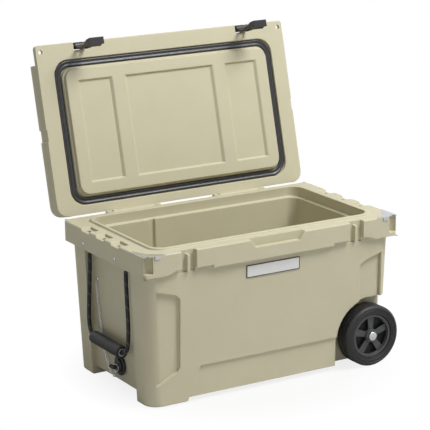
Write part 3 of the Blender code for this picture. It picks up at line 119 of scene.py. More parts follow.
class Face(Enum):
    """Which face of the chest a piece is at, as its sign along Y."""

    FRONT = -1
    BACK = 1


# ---------------------------------------------------------------- nodes and colours


def linear(colour: str) -> Colour:
    """Turns an sRGB hex colour into the linear one that a shader takes.

    Args:
        colour: Six hex digits after a hash.

    Returns:
        Red, green, blue and an alpha of 1.
    """
    shares = [int(colour[start : start + 2], 16) / 255 for start in (1, 3, 5)]
    red, green, blue = (
        share / 12.92 if share <= 0.04045 else ((share + 0.055) / 1.055) ** 2.4 for share in shares
    )
    return (red, green, blue, 1.0)


@dataclass
class Nodes:
    """A node tree, with short ways to add to it."""

    tree: bpy.types.NodeTree

    def add(
        self, kind: str, values: dict | None = None, links: dict | None = None, **settings: object
    ) -> Node:
        """Adds a node with its settings, its own socket values and its incoming links.

        Args:
            kind: The node's type name, after "ShaderNode".
            values: Socket values, by socket name or number.
            links: Sockets that feed it, by the name or number of the socket they feed.
            **settings: Properties of the node itself.

        Returns:
            The new node.
        """
        made = self.tree.nodes.new(f"ShaderNode{kind}")
        for name, value in settings.items():
            setattr(made, name, value)
        for socket, value in (values or {}).items():
            made.inputs[socket].default_value = value
        for socket, source in (links or {}).items():
            self.tree.links.new(source, made.inputs[socket])
        return made

    def maths(self, operation: str, *terms: float | Socket) -> Socket:
        """Adds a maths node.

        Args:
            operation: What it does.
            *terms: What it works on, as numbers or as sockets.

        Returns:
            Its result.
        """
        values = {place: term for place, term in enumerate(terms) if not isinstance(term, Socket)}
        links = {place: term for place, term in enumerate(terms) if isinstance(term, Socket)}
        return self.add("Math", values, links, operation=operation).outputs[0]

    def ramp(self, source: Socket, given: Pair, wanted: Pair) -> Socket:
        """Stretches one range of values to another, and stops at its ends."""
        ends = zip(("From Min", "From Max", "To Min", "To Max"), (*given, *wanted))
        return self.add("MapRange", dict(ends), {"Value": source}).outputs["Result"]

    def grain(
        self, millimetres: float, stretch: Point = (1.0, 1.0, 1.0), octaves: float = 2.0
    ) -> Socket:
        """A noise whose features have a real size.

        Args:
            millimetres: Size of one feature.
            stretch: How much finer the noise is along each axis.
            octaves: Layers of finer detail.

        Returns:
            The noise's value.
        """
        place = self.add("TexCoord").outputs["Object"]
        scaled = self.add("Mapping", {"Scale": stretch}, {"Vector": place}).outputs["Vector"]
        per_metre = 1000.0 / millimetres
        noise = self.add("TexNoise", {"Scale": per_metre, "Detail": octaves}, {"Vector": scaled})
        return noise.outputs["Fac"]


@dataclass
class Skin(Nodes):
    """The node tree of a finish, round the shader that has its colour and roughness."""

    shader: Node
    colour: str
    roughness: float

    def mottle(self, source: Socket, other: str) -> None:
        """Lets the colour drift from its own towards another where a noise is high."""
        colours = {6: linear(self.colour), 7: linear(other)}  # where a mix node keeps its colours
        blend = self.add("Mix", colours, {0: source}, data_type="RGBA")
        self.tree.links.new(blend.outputs[2], self.shader.inputs["Base Color"])

    def spread_roughness(self, source: Socket, spread: float) -> None:
        """Lets the roughness drift either side of its own value with a noise."""
        ends = (self.roughness - spread, self.roughness + spread)
        self.tree.links.new(self.ramp(source, NOISE_RANGE, ends), self.shader.inputs["Roughness"])

    def raise_surface(
        self, source: Socket, millimetres: float, strength: float, under: Socket | None = None
    ) -> Socket:
        """Bumps the surface by a noise.

        Args:
            source: Heights from 0 to 1.
            millimetres: Height of a 1.
            strength: Share of the bump that is kept.
            under: A normal that this one lies on.

        Returns:
            The bumped normal.
        """
        links = {"Height": source} if under is None else {"Height": source, "Normal": under}
        bump = self.add("Bump", {"Distance": millimetres / 1000, "Strength": strength}, links)
        self.tree.links.new(bump.outputs["Normal"], self.shader.inputs["Normal"])
        return bump.outputs["Normal"]


# ---------------------------------------------------------------- finishes


@dataclass(frozen=True)
class Finish:
    """A surface: its real material, how it was made, and the shader that shows it."""

    name: str
    colour: str
    roughness: float
    metallic: float = 0.0

    def material(self) -> bpy.types.Material:
        """Makes the material on first use and finds it again after that."""
        made = bpy.data.materials.get(self.name)
        if made is None:
            made = bpy.data.materials.new(self.name)
            made.use_nodes = True
            shader = made.node_tree.nodes["Principled BSDF"]
            shader.inputs["Base Color"].default_value = linear(self.colour)
            shader.inputs["Roughness"].default_value = self.roughness
            shader.inputs["Metallic"].default_value = self.metallic
            self.detail(Skin(made.node_tree, shader, self.colour, self.roughness))
        return made

    def detail(self, skin: Skin) -> None:
        """Adds what makes the surface more than one flat colour."""
        raise NotImplementedError


@dataclass(frozen=True)
class RotomouldedPolyethylene(Finish):
    """Tan linear polyethylene, melted as powder onto the wall of a sandblasted mould.

    It gives a dry satin with fine pebbling, a slow ripple from cooling, and a colour that
    drifts a little where the powder sintered thicker.
    """

    drift: str = "#C2BC9F"
    pebble: float = 1.1
    ripple: float = 45.0

    def detail(self, skin: Skin) -> None:
        """Ripple under pebbling, with the roughness and colour drifting on their own scales."""
        skin.mottle(skin.grain(70.0, octaves=4.0), self.drift)
        skin.spread_roughness(skin.grain(3.0), 0.06)
        slow = skin.raise_surface(skin.grain(self.ripple), 0.35, 0.35)
        skin.raise_surface(skin.grain(self.pebble, octaves=3.0), 0.12, 0.35, slow)


@dataclass(frozen=True)
class FoamedPolyurethane(Finish):
    """Insulating foam, poured between the skins: pale yellow cells with a dull skin."""

    def detail(self, skin: Skin) -> None:
        """Cells about 2 mm across."""
        cells = skin.grain(2.0, octaves=5.0)
        skin.mottle(cells, "#D9C48A")
        skin.raise_surface(cells, 0.6, 0.8)


@dataclass(frozen=True)
class MouldedRubber(Finish):
    """Black rubber from a fine-blasted mould: soft satin, with a bloom that greys it in patches."""

    bloom: str = "#323234"

    def detail(self, skin: Skin) -> None:
        """A fine tooth under patches of bloom."""
        skin.mottle(skin.grain(14.0, octaves=4.0), self.bloom)
        skin.spread_roughness(skin.grain(6.0), 0.07)
        skin.raise_surface(skin.grain(0.7, octaves=3.0), 0.08, 0.4)


@dataclass(frozen=True)
class TyreRubber(Finish):
    """Solid rubber tyre with dust in its pores: near black, dry, and greyer where it scuffs."""

    def detail(self, skin: Skin) -> None:
        """Scuffs a few millimetres long over a fine tooth."""
        skin.mottle(skin.grain(9.0, octaves=6.0), "#1A1A1B")
        skin.spread_roughness(skin.grain(4.0), 0.08)
        skin.raise_surface(skin.grain(0.9, octaves=3.0), 0.15, 0.5)


@dataclass(frozen=True)
class InjectionMouldedPlastic(Finish):
    """Polypropylene with an etched texture: even, with a soft wide highlight."""

    lighter: str = "#47484A"

    def detail(self, skin: Skin) -> None:
        """Etching about half a millimetre across, drawn at 0.8 mm so that it shows."""
        skin.mottle(skin.grain(20.0), self.lighter)
        skin.raise_surface(skin.grain(0.8), 0.06, 0.4)


@dataclass(frozen=True)
class BrushedStainless(Finish):
    """Stainless sheet brushed along its length: fine streaks that stretch each highlight."""

    streak: Point = (0.04, 1.0, 1.0)

    def detail(self, skin: Skin) -> None:
        """Streaks 0.5 mm apart and some 12 mm long; real ones are finer, but would not show."""
        streaks = skin.grain(0.5, self.streak, 3.0)
        skin.mottle(streaks, "#A9AAAD")
        skin.spread_roughness(streaks, 0.10)
        skin.raise_surface(streaks, 0.03, 0.5)


@dataclass(frozen=True)
class ZincPlatedSteel(Finish):
    """Bright zinc on drawn wire: a bluish mirror, clouded where the plating is thin."""

    def detail(self, skin: Skin) -> None:
        """Clouds about 3 mm across."""
        clouds = skin.grain(3.0, octaves=4.0)
        skin.mottle(clouds, "#B2B4B8")
        skin.spread_roughness(clouds, 0.08)


@dataclass(frozen=True)
class BraidedPolypropylene(Finish):
    """Black braid of eight strands each way, with one pale tracer strand that shows as flecks.

    The braid itself is in the mesh. The piece's UV map runs round it once in U, and along it by
    one turn of a strand for each 1 in V.
    """

    tracer: str = "#8F9092"
    strands: int = 8
    filaments: float = 12.0  # lines on a strand
    top_from: float = 0.12  # height of the weave from which the tracer shows
    tracer_share: float = 0.3  # half the tracer's width, as a share of a strand's

    def detail(self, skin: Skin) -> None:
        """Filament lines along both ways of strand, and the tracer where it lies on top."""
        place = skin.add("UVMap", uv_map="UVMap").outputs["UV"]
        split = skin.add("SeparateXYZ", links={0: place})
        around, along = split.outputs["X"], split.outputs["Y"]
        ways = [skin.maths(operation, around, along) for operation in ("ADD", "SUBTRACT")]
        turn = math.pi * self.strands
        waves = [skin.maths("COSINE", skin.maths("MULTIPLY", way, turn)) for way in ways]
        on_top = skin.maths("GREATER_THAN", skin.maths("MULTIPLY", *waves), self.top_from)
        middle = skin.maths("SUBTRACT", skin.maths("FRACT", ways[0]), 0.5)
        edge = 0.5 - self.tracer_share / self.strands
        near = skin.maths("GREATER_THAN", skin.maths("ABSOLUTE", middle), edge)
        skin.mottle(skin.maths("MULTIPLY", near, on_top), self.tracer)
        fine = self.filaments * turn
        one, other = (skin.maths("SINE", skin.maths("MULTIPLY", way, fine)) for way in ways)
        filament = skin.add("Mix", data_type="FLOAT", links={0: on_top, 2: other, 3: one})
        skin.raise_surface(filament.outputs[0], 0.08, 0.5)


@dataclass(frozen=True)
class SatinPlate(Finish):
    """Printed aluminium badge plate, left blank: pale satin with a faint rolled grain."""

    def detail(self, skin: Skin) -> None:
        """Rolling lines along the plate, drawn 0.8 mm apart so that they show."""
        lines = skin.grain(0.8, (0.05, 1.0, 1.0))
        skin.mottle(lines, "#D4D4D2")
        skin.raise_surface(lines, 0.02, 0.4)


SHELL = RotomouldedPolyethylene("Rotomoulded polyethylene, tan", "#C9C3A8", 0.50)
PORT_PLUG = RotomouldedPolyethylene(
    "Spin-welded polyethylene, tan", "#BFB89C", 0.42, drift="#B8B094"
)
FOAM = FoamedPolyurethane("Foamed polyurethane", "#E9DDAE", 0.85)
GASKET = MouldedRubber("Extruded EPDM rubber", "#252527", 0.34, bloom="#313133")
LATCH_RUBBER = MouldedRubber("Moulded latch rubber", "#101012", 0.40, bloom="#19191B")
GRIP_RUBBER = MouldedRubber("Foamed grip rubber", "#0E0E0F", 0.66, bloom="#141416")
FOOT_RUBBER = MouldedRubber("Moulded foot rubber", "#222224", 0.60)
TYRE = TyreRubber("Cured tyre rubber", "#0B0B0C", 0.56)
HUB = InjectionMouldedPlastic(
    "Injection moulded hub polypropylene", "#3E3F41", 0.36, lighter="#48494B"
)
# Near-black finish for the hub's faces deep in its openings: painted shade for the shade that falls
# there. The plastic there is the same as the rest of the hub.
HUB_PAINTED_SHADE = InjectionMouldedPlastic(
    "Injection moulded hub polypropylene, unpolished", "#0D0D0E", 0.60, lighter="#121213"
)
FITTING = InjectionMouldedPlastic(
    "Injection moulded fitting plastic", "#121213", 0.36, lighter="#1A1A1B"
)
LINER = InjectionMouldedPlastic("Extruded liner plastic", "#A9AAAD", 0.32, lighter="#B9BABC")
STAINLESS = BrushedStainless("Brushed stainless sheet", "#DADBDD", 0.22, 1.0)
TURNED_STEEL = BrushedStainless(
    "Turned stainless steel", "#DCDDE0", 0.18, 1.0, streak=(1.0, 1.0, 0.1)
)
ZINC = ZincPlatedSteel("Zinc plated steel wire", "#E2E4E8", 0.20, 1.0)
BRAID = BraidedPolypropylene("Braided polypropylene", "#121214", 0.62)
BADGE_FACE = SatinPlate("Rolled aluminium badge", "#E4E4E2", 0.38)
BADGE_BORDER = InjectionMouldedPlastic("Printed badge border", "#26272B", 0.40, lighter="#2E2F34")


# ---------------------------------------------------------------- modelling


FACE_OUTWARDS: tuple[Step, ...] = (
    lambda: bpy.ops.mesh.select_all(action="SELECT"),
    lambda: bpy.ops.mesh.normals_make_consistent(inside=False),
)


def deselect_all() -> None:
    """Leaves nothing selected, so that an operator acts only on what comes next."""
    if bpy.context.object and bpy.context.object.mode != "OBJECT":
        bpy.ops.object.mode_set(mode="OBJECT")
    bpy.ops.object.select_all(action="DESELECT")


def pick(obj: Piece) -> None:
    """Makes one object the only selected and active one."""
    deselect_all()
    obj.select_set(True)
    bpy.context.view_layer.objects.active = obj


def added(name: str, operator: Callable[..., object], **settings: object) -> Piece:
    """Adds an object with an operator and names it.

    Args:
        name: The new object's name.
        operator: One of the operators that add an object.
        **settings: What the operator takes.

    Returns:
        The new object.
    """
    deselect_all()
    operator(**settings)
    obj = bpy.context.object
    obj.name = obj.data.name = name
    return obj


def piece_of(mesh: Mesh, name: str) -> Piece:
    """A new piece in the scene, of a mesh that nothing else uses."""
    mesh.name = name
    obj = bpy.data.objects.new(name, mesh)
    bpy.context.scene.collection.objects.link(obj)
    return obj


def edit(obj: Piece, *steps: Step) -> None:
    """Runs operators in edit mode with the whole of one mesh selected first."""
    pick(obj)
    bpy.ops.object.mode_set(mode="EDIT")
    bpy.ops.mesh.select_all(action="SELECT")
    for step in steps:
        step()
    bpy.ops.object.mode_set(mode="OBJECT")


def edit_faces(obj: Piece, wanted: Callable[[Polygon], bool], *steps: Step) -> None:
    """Runs operators in edit mode on the faces that a test accepts."""
    pick(obj)
    bpy.ops.object.mode_set(mode="EDIT")
    bpy.ops.mesh.select_mode(type="FACE")
    bpy.ops.mesh.select_all(action="DESELECT")
    bpy.ops.object.mode_set(mode="OBJECT")
    chosen = [face for face in obj.data.polygons if wanted(face)]
    if not chosen:
        raise ValueError(f"{obj.name}: no face fits")
    for face in chosen:
        face.select = True
    bpy.ops.object.mode_set(mode="EDIT")
    for step in steps:
        step()
    bpy.ops.object.mode_set(mode="OBJECT")


def apply_modifier(obj: Piece, kind: str, **settings: object) -> None:
    """Puts a modifier on a piece and applies it at once."""
    pick(obj)
    modifier = obj.modifiers.new(kind.lower(), kind)
    for name, value in settings.items():
        setattr(modifier, name, value)
    bpy.ops.object.modifier_apply(modifier=modifier.name)


def settle(obj: Piece) -> None:
    """Moves a piece's place, turn and scale into its mesh."""
    pick(obj)
    bpy.ops.object.transform_apply(location=True, rotation=True, scale=True)


def shade(obj: Piece, degrees: float = 40.0) -> None:
    """Shades smooth, and keeps edges over an angle sharp."""
    pick(obj)
    bpy.ops.object.shade_smooth_by_angle(angle=math.radians(degrees))


def even_normals(obj: Piece) -> None:
    """Lets large flat faces keep flat shading beside the rounded edges."""
    apply_modifier(obj, "WEIGHTED_NORMAL", keep_sharp=True, weight=80)


def middle_of(node: str) -> Point:
    """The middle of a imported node's box."""
    return tuple((low + high) / 2 for low, high in zip(*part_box(node)))


def merged_copy(node: str, name: str) -> Piece:
    """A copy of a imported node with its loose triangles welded.

    Args:
        node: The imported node.
        name: The new piece's name.

    Returns:
        The new piece.
    """
    obj = piece_of(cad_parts[node].data.copy(), name)
    edit(
        obj,
        lambda: bpy.ops.mesh.remove_doubles(threshold=WELD),
        lambda: bpy.ops.mesh.dissolve_limited(angle_limit=math.radians(FLAT_DEGREES)),
        lambda: bpy.ops.mesh.quads_convert_to_tris(quad_method="BEAUTY", ngon_method="BEAUTY"),
    )
    return obj


def sharp_edges(mesh: Mesh, degrees: float) -> SharpEdges:
    """The edges whose two faces turn by more than an angle, each with those faces."""
    sides: dict[tuple[int, int], list[Polygon]] = {}
    for face in mesh.polygons:
        for key in face.edge_keys:
            sides.setdefault(key, []).append(face)
    least = math.cos(math.radians(degrees))
    found = {}
    for line in mesh.edges:
        faces = sides[line.key]
        if len(faces) == 2 and faces[0].normal.dot(faces[1].normal) < least:
            found[line.index] = faces
    return found


def edge_middle(mesh: Mesh, index: int) -> Vector:
    """The middle of one edge."""
    start, stop = (mesh.vertices[end].co for end in mesh.edges[index].vertices)
    return (start + stop) / 2


def edge_spots(mesh: Mesh, edges: Iterable[int], apart: float) -> tuple[Spots, KDTree]:
    """Evenly spread points on some edges.

    Args:
        mesh: The mesh.
        edges: The edges' numbers.
        apart: Most distance between two points of an edge.

    Returns:
        Each point with its edge's number, and a search tree of the points.
    """
    spots = []
    for index in edges:
        start, stop = (mesh.vertices[end].co for end in mesh.edges[index].vertices)
        count = max(1, math.ceil((stop - start).length / apart))
        spots += [(start.lerp(stop, (step + 0.5) / count), index) for step in range(count)]
    tree = KDTree(len(spots))
    for number, (spot, _) in enumerate(spots):
        tree.insert(spot, number)
    tree.balance()
    return spots, tree


def edge_room(
    mesh: Mesh, sharp: SharpEdges, spots: Spots, tree: KDTree, reach: float
) -> dict[int, float]:
    """How far each sharp edge is from the next one across either of its faces.

    Args:
        mesh: The mesh.
        sharp: Its sharp edges, each with its two faces.
        spots: Points on those edges, each with its edge's number.
        tree: A search tree of the points.
        reach: Distance at which the search stops.

    Returns:
        The least distance for each sharp edge, reach at most.
    """
    room = dict.fromkeys(sharp, reach)
    for spot, index in spots:
        own = set(mesh.edges[index].vertices)
        start, stop = (mesh.vertices[end].co for end in mesh.edges[index].vertices)
        along = (stop - start).normalized()
        for face in sharp[index]:
            inward = face.normal.cross(along)
            inward *= math.copysign(1.0, inward.dot(face.center - spot))
            for step in range(1, ROOM_STEPS + 1):
                far = reach * step / ROOM_STEPS
                if far >= room[index]:
                    break
                found = tree.find_range(spot + inward * far, reach / (ROOM_STEPS + 1))
                near = {spots[number][1] for _, number, _ in found} - {index}
                if any(own.isdisjoint(mesh.edges[other].vertices) for other in near):
                    room[index] = far
    return room


def rounded(base: Mesh, name: str, weights: dict[int, float], width: float, segments: int) -> Piece:
    """A new piece with some of a mesh's edges rounded over, each by its share of a width."""
    obj = piece_of(base.copy(), name)
    shares = obj.data.attributes.new("bevel_weight_edge", "FLOAT", "EDGE")
    for index, share in weights.items():
        shares.data[index].value = share
    apply_modifier(
        obj, "BEVEL", width=width, segments=segments, limit_method="WEIGHT", use_clamp_overlap=False
    )
    return obj


def softened(node: str, name: str, width: float, segments: int = 3, degrees: float = 28.0) -> Piece:
    """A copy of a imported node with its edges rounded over, less where two edges are close.

    Where a rounding would fold the faces beside it, it is drawn narrower and tried again.

    Args:
        node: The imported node.
        name: The new piece's name.
        width: Width of a rounding that has the room.
        segments: Facets across a rounding.
        degrees: Edges that turn more than this are rounded.

    Returns:
        The new piece.
    """
    source = merged_copy(node, f"{name}_sharp")
    base = source.data
    sharp = sharp_edges(base, degrees)
    spots, tree = edge_spots(base, sharp, width / 2)
    room = edge_room(base, sharp, spots, tree, ROOM_REACH * width)
    weights = {index: min(1.0, ROOM_SHARE * space / width) for index, space in room.items()}
    for attempt in range(SOFTEN_TRIES):
        obj = rounded(base, name, weights, width, segments)
        folds = [edge_middle(obj.data, index) for index in sharp_edges(obj.data, FOLD_DEGREES)]
        if not folds or attempt == SOFTEN_TRIES - 1:
            break
        found = (near for place in folds for near in tree.find_range(place, FOLD_REACH * width))
        for index in {spots[number][1] for _, number, _ in found}:
            weights[index] *= NARROWER
        bpy.data.objects.remove(obj)
    bpy.data.objects.remove(source)
    shade(obj)
    even_normals(obj)
    return obj


def turned(name: str, profile: Sequence[Pair], centre: Pair, axis: Axis, steps: int = 48) -> Piece:
    """Spins a closed profile into a solid.

    Args:
        name: The piece's name.
        profile: (radius, height along the axis) points. Two ends at radius 0 close on the axis.
        centre: Where the axis passes, in the other two coordinates in X, Y, Z order.
        axis: The axis.
        steps: Facets round it.

    Returns:
        The piece.
    """
    obj = added(name, bpy.ops.mesh.primitive_circle_add, vertices=len(profile))
    for vertex, (radius, height) in zip(obj.data.vertices, profile):
        vertex.co = axis.put((centre[0] + radius, centre[1]), height)
    through, along = axis.put(centre, 0.0), axis.put((0.0, 0.0), 1.0)
    edit(
        obj,
        lambda: bpy.ops.mesh.spin(steps=steps, angle=2 * math.pi, center=through, axis=along),
        lambda: bpy.ops.mesh.select_all(action="SELECT"),
        lambda: bpy.ops.mesh.remove_doubles(threshold=SEAM),
        lambda: bpy.ops.mesh.delete_loose(),
        *FACE_OUTWARDS,
    )
    return obj


def copy_of(obj: Piece, name: str, move: Matrix) -> Piece:
    """A copy of a piece with its own mesh, moved within it."""
    made = piece_of(obj.data.copy(), name)
    made.data.transform(move)
    return made


def join(pieces: Sequence[Piece], name: str) -> Piece:
    """Joins pieces into one, under one name."""
    deselect_all()
    for piece in pieces:
        piece.select_set(True)
    bpy.context.view_layer.objects.active = pieces[0]
    bpy.ops.object.join()
    pieces[0].name = pieces[0].data.name = name
    return pieces[0]


def about(point: Vector, turn: Matrix) -> Matrix:
    """A turn about a point instead of the origin."""
    return Matrix.Translation(point) @ turn @ Matrix.Translation(-point)


def swung_open(obj: Piece) -> Piece:
    """Turns a piece that was drawn on the shut lid to where the open lid holds it."""
    obj.data.transform(about(HINGE, Matrix.Rotation(-LID_OPEN, 4, "X")))
    return obj


def smooth_line(points: Sequence[Point], spacing: float) -> list[Vector]:
    """Evenly spaced points on a smooth curve through the given ones.

    Args:
        points: The points that it passes.
        spacing: About how far apart the new ones are.

    Returns:
        The new points, both ends included.
    """
    given = [Vector(point) for point in points]
    ends = [2 * given[0] - given[1], *given, 2 * given[-1] - given[-2]]
    dense = []
    for before, start, stop, after in zip(ends, ends[1:], ends[2:], ends[3:]):
        for step in range(CURVE_STEPS):
            t = step / CURVE_STEPS
            bend = (2 * before - 5 * start + 4 * stop - after) * t**2
            twist = (3 * start - before - 3 * stop + after) * t**3
            dense.append(0.5 * (2 * start + (stop - before) * t + bend + twist))
    dense.append(given[-1])
    lengths = [0.0]
    for one, other in zip(dense, dense[1:]):
        lengths.append(lengths[-1] + (other - one).length)
    count = max(2, round(lengths[-1] / spacing))
    line, index = [], 0
    for step in range(count + 1):
        target = lengths[-1] * step / count
        while index < len(dense) - 2 and lengths[index + 1] < target:
            index += 1
        share = (target - lengths[index]) / (lengths[index + 1] - lengths[index])
        line.append(dense[index].lerp(dense[index + 1], share))
    return line


def line_length(line: Sequence[Vector]) -> float:
    """How long a line of points is."""
    return sum((other - one).length for one, other in zip(line, line[1:]))


def steady_frames(line: Sequence[Vector], up: Vector) -> list[tuple[Vector, Vector, Vector]]:
    """Directions along a line that turn as little as they can from point to point.

    Args:
        line: The points.
        up: A direction that isn't along its start.

    Returns:
        For each point the direction along the line, and two square to it.
    """
    frames = []
    side = up
    for before, after in zip([line[0], *line], [*line[1:], line[-1]]):
        along = (after - before).normalized()
        side = (side - along * side.dot(along)).normalized()
        frames.append((along, side, along.cross(side)))
    return frames


# ---------------------------------------------------------------- the parts' common ground


class SubAssembly:
    """Places finished pieces: dresses them, hangs them on a body and reports them."""

    def finish(self, obj: Piece, slot: str, finish: Finish, *nodes: str) -> None:
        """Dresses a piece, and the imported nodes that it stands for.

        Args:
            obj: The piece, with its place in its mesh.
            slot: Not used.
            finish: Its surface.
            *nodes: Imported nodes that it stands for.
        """
        obj.data.materials.clear()
        obj.data.materials.append(finish.material())
        if nodes:
            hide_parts(*nodes)
            for node in nodes:
                self.dress(node, finish)

    def place(self, obj: Piece, body: str, slot: str, finish: Finish, *nodes: str) -> Piece:
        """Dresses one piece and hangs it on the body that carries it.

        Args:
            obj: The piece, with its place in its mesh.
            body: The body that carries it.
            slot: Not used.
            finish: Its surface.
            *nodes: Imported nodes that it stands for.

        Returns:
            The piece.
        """
        self.finish(obj, slot, finish, *nodes)
        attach(obj, body)
        LOG.info("%s on %s: %d faces, %s", obj.name, body, len(obj.data.polygons), finish.name)
        return obj

    def soften(
        self, node: str, name: str, edge: float, body: str, slot: str, finish: Finish
    ) -> Piece:
        """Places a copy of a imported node, with its edges rounded over, in the node's stead."""
        return self.place(softened(node, name, edge), body, slot, finish, node)

    def dress(self, node: str, finish: Finish) -> None:
        """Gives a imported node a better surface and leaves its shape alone."""
        for material_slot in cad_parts[node].material_slots:
            material_slot.material = finish.material()

    def carry(self, finish: Finish, *nodes: str) -> None:
        """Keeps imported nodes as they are, with a better surface."""
        for node in nodes:
            self.dress(node, finish)
            LOG.info("%s carried over: %s", node, finish.name)


# ---------------------------------------------------------------- moulded body and lid


@dataclass
class ChestBody(SubAssembly):
    """The body moulding, the foam inside it and the plug of the port the foam went in by."""

    edge: float = 0.0020
    plug_edge: float = 0.0006

    def build(self) -> None:
        """Models and hangs the pieces."""
        self.soften("body_shell", "body_moulding", self.edge, "chest", "tan_shell", SHELL)
        edge = self.plug_edge
        self.soften("body_port_plug", "body_port_disc", edge, "chest", "tan_plug", PORT_PLUG)
        self.carry(FOAM, "body_insulation")


@dataclass
class Lid(SubAssembly):
    """The lid moulding with its foam, and the sealing strip in its groove."""

    edge: float = 0.0020
    plug_edge: float = 0.0006
    strip_centre: float = 0.0045  # outside the edge of the ice space
    strip_half: float = 0.0080
    strip_low: float = 0.3733
    strip_high: float = 0.3777
    tub_half_length: float = 0.2925
    tub_front: float = -0.159
    tub_back: float = 0.165
    tub_corner: float = 0.030
    corner_steps: int = 12

    def build(self) -> None:
        """Models and hangs the pieces."""
        self.soften("lid_shell", "lid_moulding", self.edge, "lid", "tan_shell", SHELL)
        edge = self.plug_edge
        self.soften("lid_port_plug", "lid_port_disc", edge, "lid", "tan_plug", PORT_PLUG)
        self.carry(FOAM, "lid_insulation")
        self.place(self.sealing_strip(), "lid", "black_rubber", GASKET, "lid_gasket")

    def strip_path(self) -> list[Vector]:
        """The strip's middle line, round the ice space, seen from above with the lid shut."""
        corner = self.tub_corner + self.strip_centre / 2
        half = self.tub_half_length + self.strip_centre - corner
        front = self.tub_front - self.strip_centre + corner + MIDDLE_Y
        back = self.tub_back + self.strip_centre - corner + MIDDLE_Y
        path = []
        middles = ((half, back), (-half, back), (-half, front), (half, front))
        for quarter, middle in enumerate(middles):
            for step in range(self.corner_steps + 1):
                angle = math.radians(90 * quarter + 90 * step / self.corner_steps)
                x, y = middle[0] + corner * math.cos(angle), middle[1] + corner * math.sin(angle)
                path.append(Vector((x, y, 0.0)))
        return path

    def sealing_strip(self) -> Piece:
        """The extruded strip: two soft ridges with a valley between them, facing the rim."""
        half, low = self.strip_half, self.strip_low
        crown = self.strip_high - low
        shares = ((1.0, 1.0), (1.0, 0.45), (0.86, 0.12), (0.62, 0.0), (0.40, 0.06), (0.20, 0.38))
        left = [(-across * half, low + rise * crown) for across, rise in shares]
        right = [(-across, height) for across, height in reversed(left)]
        section = [*left, (0.0, low + 0.48 * crown), *right]
        path = self.strip_path()
        count = len(path)
        outward = []
        for index in range(count):
            along = path[(index + 1) % count] - path[index - 1]
            outward.append(Vector((along.y, -along.x, 0.0)).normalized())

        def shape(across: float, down: float) -> Vector:
            """Place of a point of the strip's surface."""
            offset, height = section[round(across * len(section)) % len(section)]
            index = round(down * count) % count
            return path[index] + outward[index] * offset + Vector((0.0, 0.0, height))

        strip = bent_grid("lid_sealing_strip", len(section), count, shape)
        shade(strip, 50.0)
        return swung_open(strip)


@dataclass
class Latch(SubAssembly):
    """One rubber T-latch and the pin that it turns on."""

    hand: Hand
    edge: float = 0.0011

    def build(self) -> None:
        """Models and hangs the pieces."""
        name = f"latch_{self.hand.name.lower()}"
        self.soften(name, f"{name}_moulding", self.edge, name, "black_rubber", LATCH_RUBBER)
        self.carry(TURNED_STEEL, f"latch_pin_{self.hand.name.lower()}")


# ---------------------------------------------------------------- steel and small fittings


def dome(radius: float, top: float, depth: float, steps: int) -> list[Pair]:
    """A profile that curves out from the axis by a quarter turn, from a top to a depth under it."""
    angles = [math.radians(90 * step / steps) for step in range(steps + 1)]
    return [(radius * math.sin(angle), top + depth * (1 - math.cos(angle))) for angle in angles]


@dataclass
class CornerPlate(SubAssembly):
    """A pressed lock plate, let into a front corner of the rim."""

    hand: Hand
    edge: float = 0.0004

    def build(self) -> None:
        """Models and hangs the plate."""
        name = f"corner_plate_{self.hand.name.lower()}"
        self.soften(name, f"{name}_pressing", self.edge, "chest", "stainless", STAINLESS)


@dataclass
class Badge(SubAssembly):
    """A blank badge: a pale face, set in a dark border that stands a little proud."""

    border: float = 0.0017
    sunk: float = 0.0003
    flat_degrees: float = 1.0  # its face is one face where it turns less than this

    def build(self) -> None:
        """Models the badge, sinks its face and gives the two their own finishes."""
        badge = merged_copy("badge", "badge_plate")
        flat = math.radians(self.flat_degrees)
        edit(badge, lambda: bpy.ops.mesh.dissolve_limited(angle_limit=flat))
        edit_faces(
            badge,
            lambda face: face.normal.y < -FACING,
            lambda: bpy.ops.mesh.inset(thickness=self.border, depth=0.0),
            lambda: bpy.ops.mesh.inset(thickness=self.sunk, depth=-self.sunk),
        )
        self.place(badge, "chest", "badge_face", BADGE_BORDER, "badge")
        badge.data.materials.append(BADGE_FACE.material())
        widest = max(badge.data.polygons, key=lambda face: face.area * (face.normal.y < -FACING))
        widest.material_index = 1


@dataclass
class Hardware(SubAssembly):
    """Hinge pins, axle, washers, caps and feet."""

    edge: float = 0.0004
    cap_radius: float = 0.011
    cap_dome: float = 0.0032
    cap_skirt: float = 0.0070
    cap_wall: float = 0.0007
    foot_edge: float = 0.0009

    def build(self) -> None:
        """Models and hangs the pieces."""
        for hand in Hand:
            name = f"hinge_pin_{hand.name.lower()}"
            self.soften(name, f"{name}_rod", self.edge, "chest", "stainless", TURNED_STEEL)
        self.carry(TURNED_STEEL, "axle")
        for face in Face:
            side = face.name.lower()
            washer, foot = f"washer_{side}", f"foot_{side}"
            self.soften(washer, f"{washer}_disc", self.edge / 2, "chest", "stainless", TURNED_STEEL)
            self.soften(foot, f"{foot}_pad", self.foot_edge, "chest", "black_rubber", FOOT_RUBBER)
            self.place(self.cap(face), "chest", "stainless", TURNED_STEEL, f"axle_cap_{side}")

    def cap(self, face: Face) -> Piece:
        """A push-on cap with a domed top and a thin skirt round the axle's end."""
        node = f"axle_cap_{face.name.lower()}"
        low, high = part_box(node)
        tip = low[1] if face is Face.FRONT else high[1]
        inward = -face.value
        x, _, z = middle_of(node)
        radius, wall = self.cap_radius, self.cap_wall
        skirt = tip + inward * self.cap_skirt
        outside = dome(radius, tip, inward * self.cap_dome, 8)
        inside = [(r * (1 - wall / radius), y + inward * wall) for r, y in reversed(outside)]
        profile = [*outside, (radius, skirt), (radius - wall, skirt), *inside]
        cap = turned(f"{node}_dome", profile, (x, z), Axis.Y, 40)
        shade(cap, 50.0)
        return cap


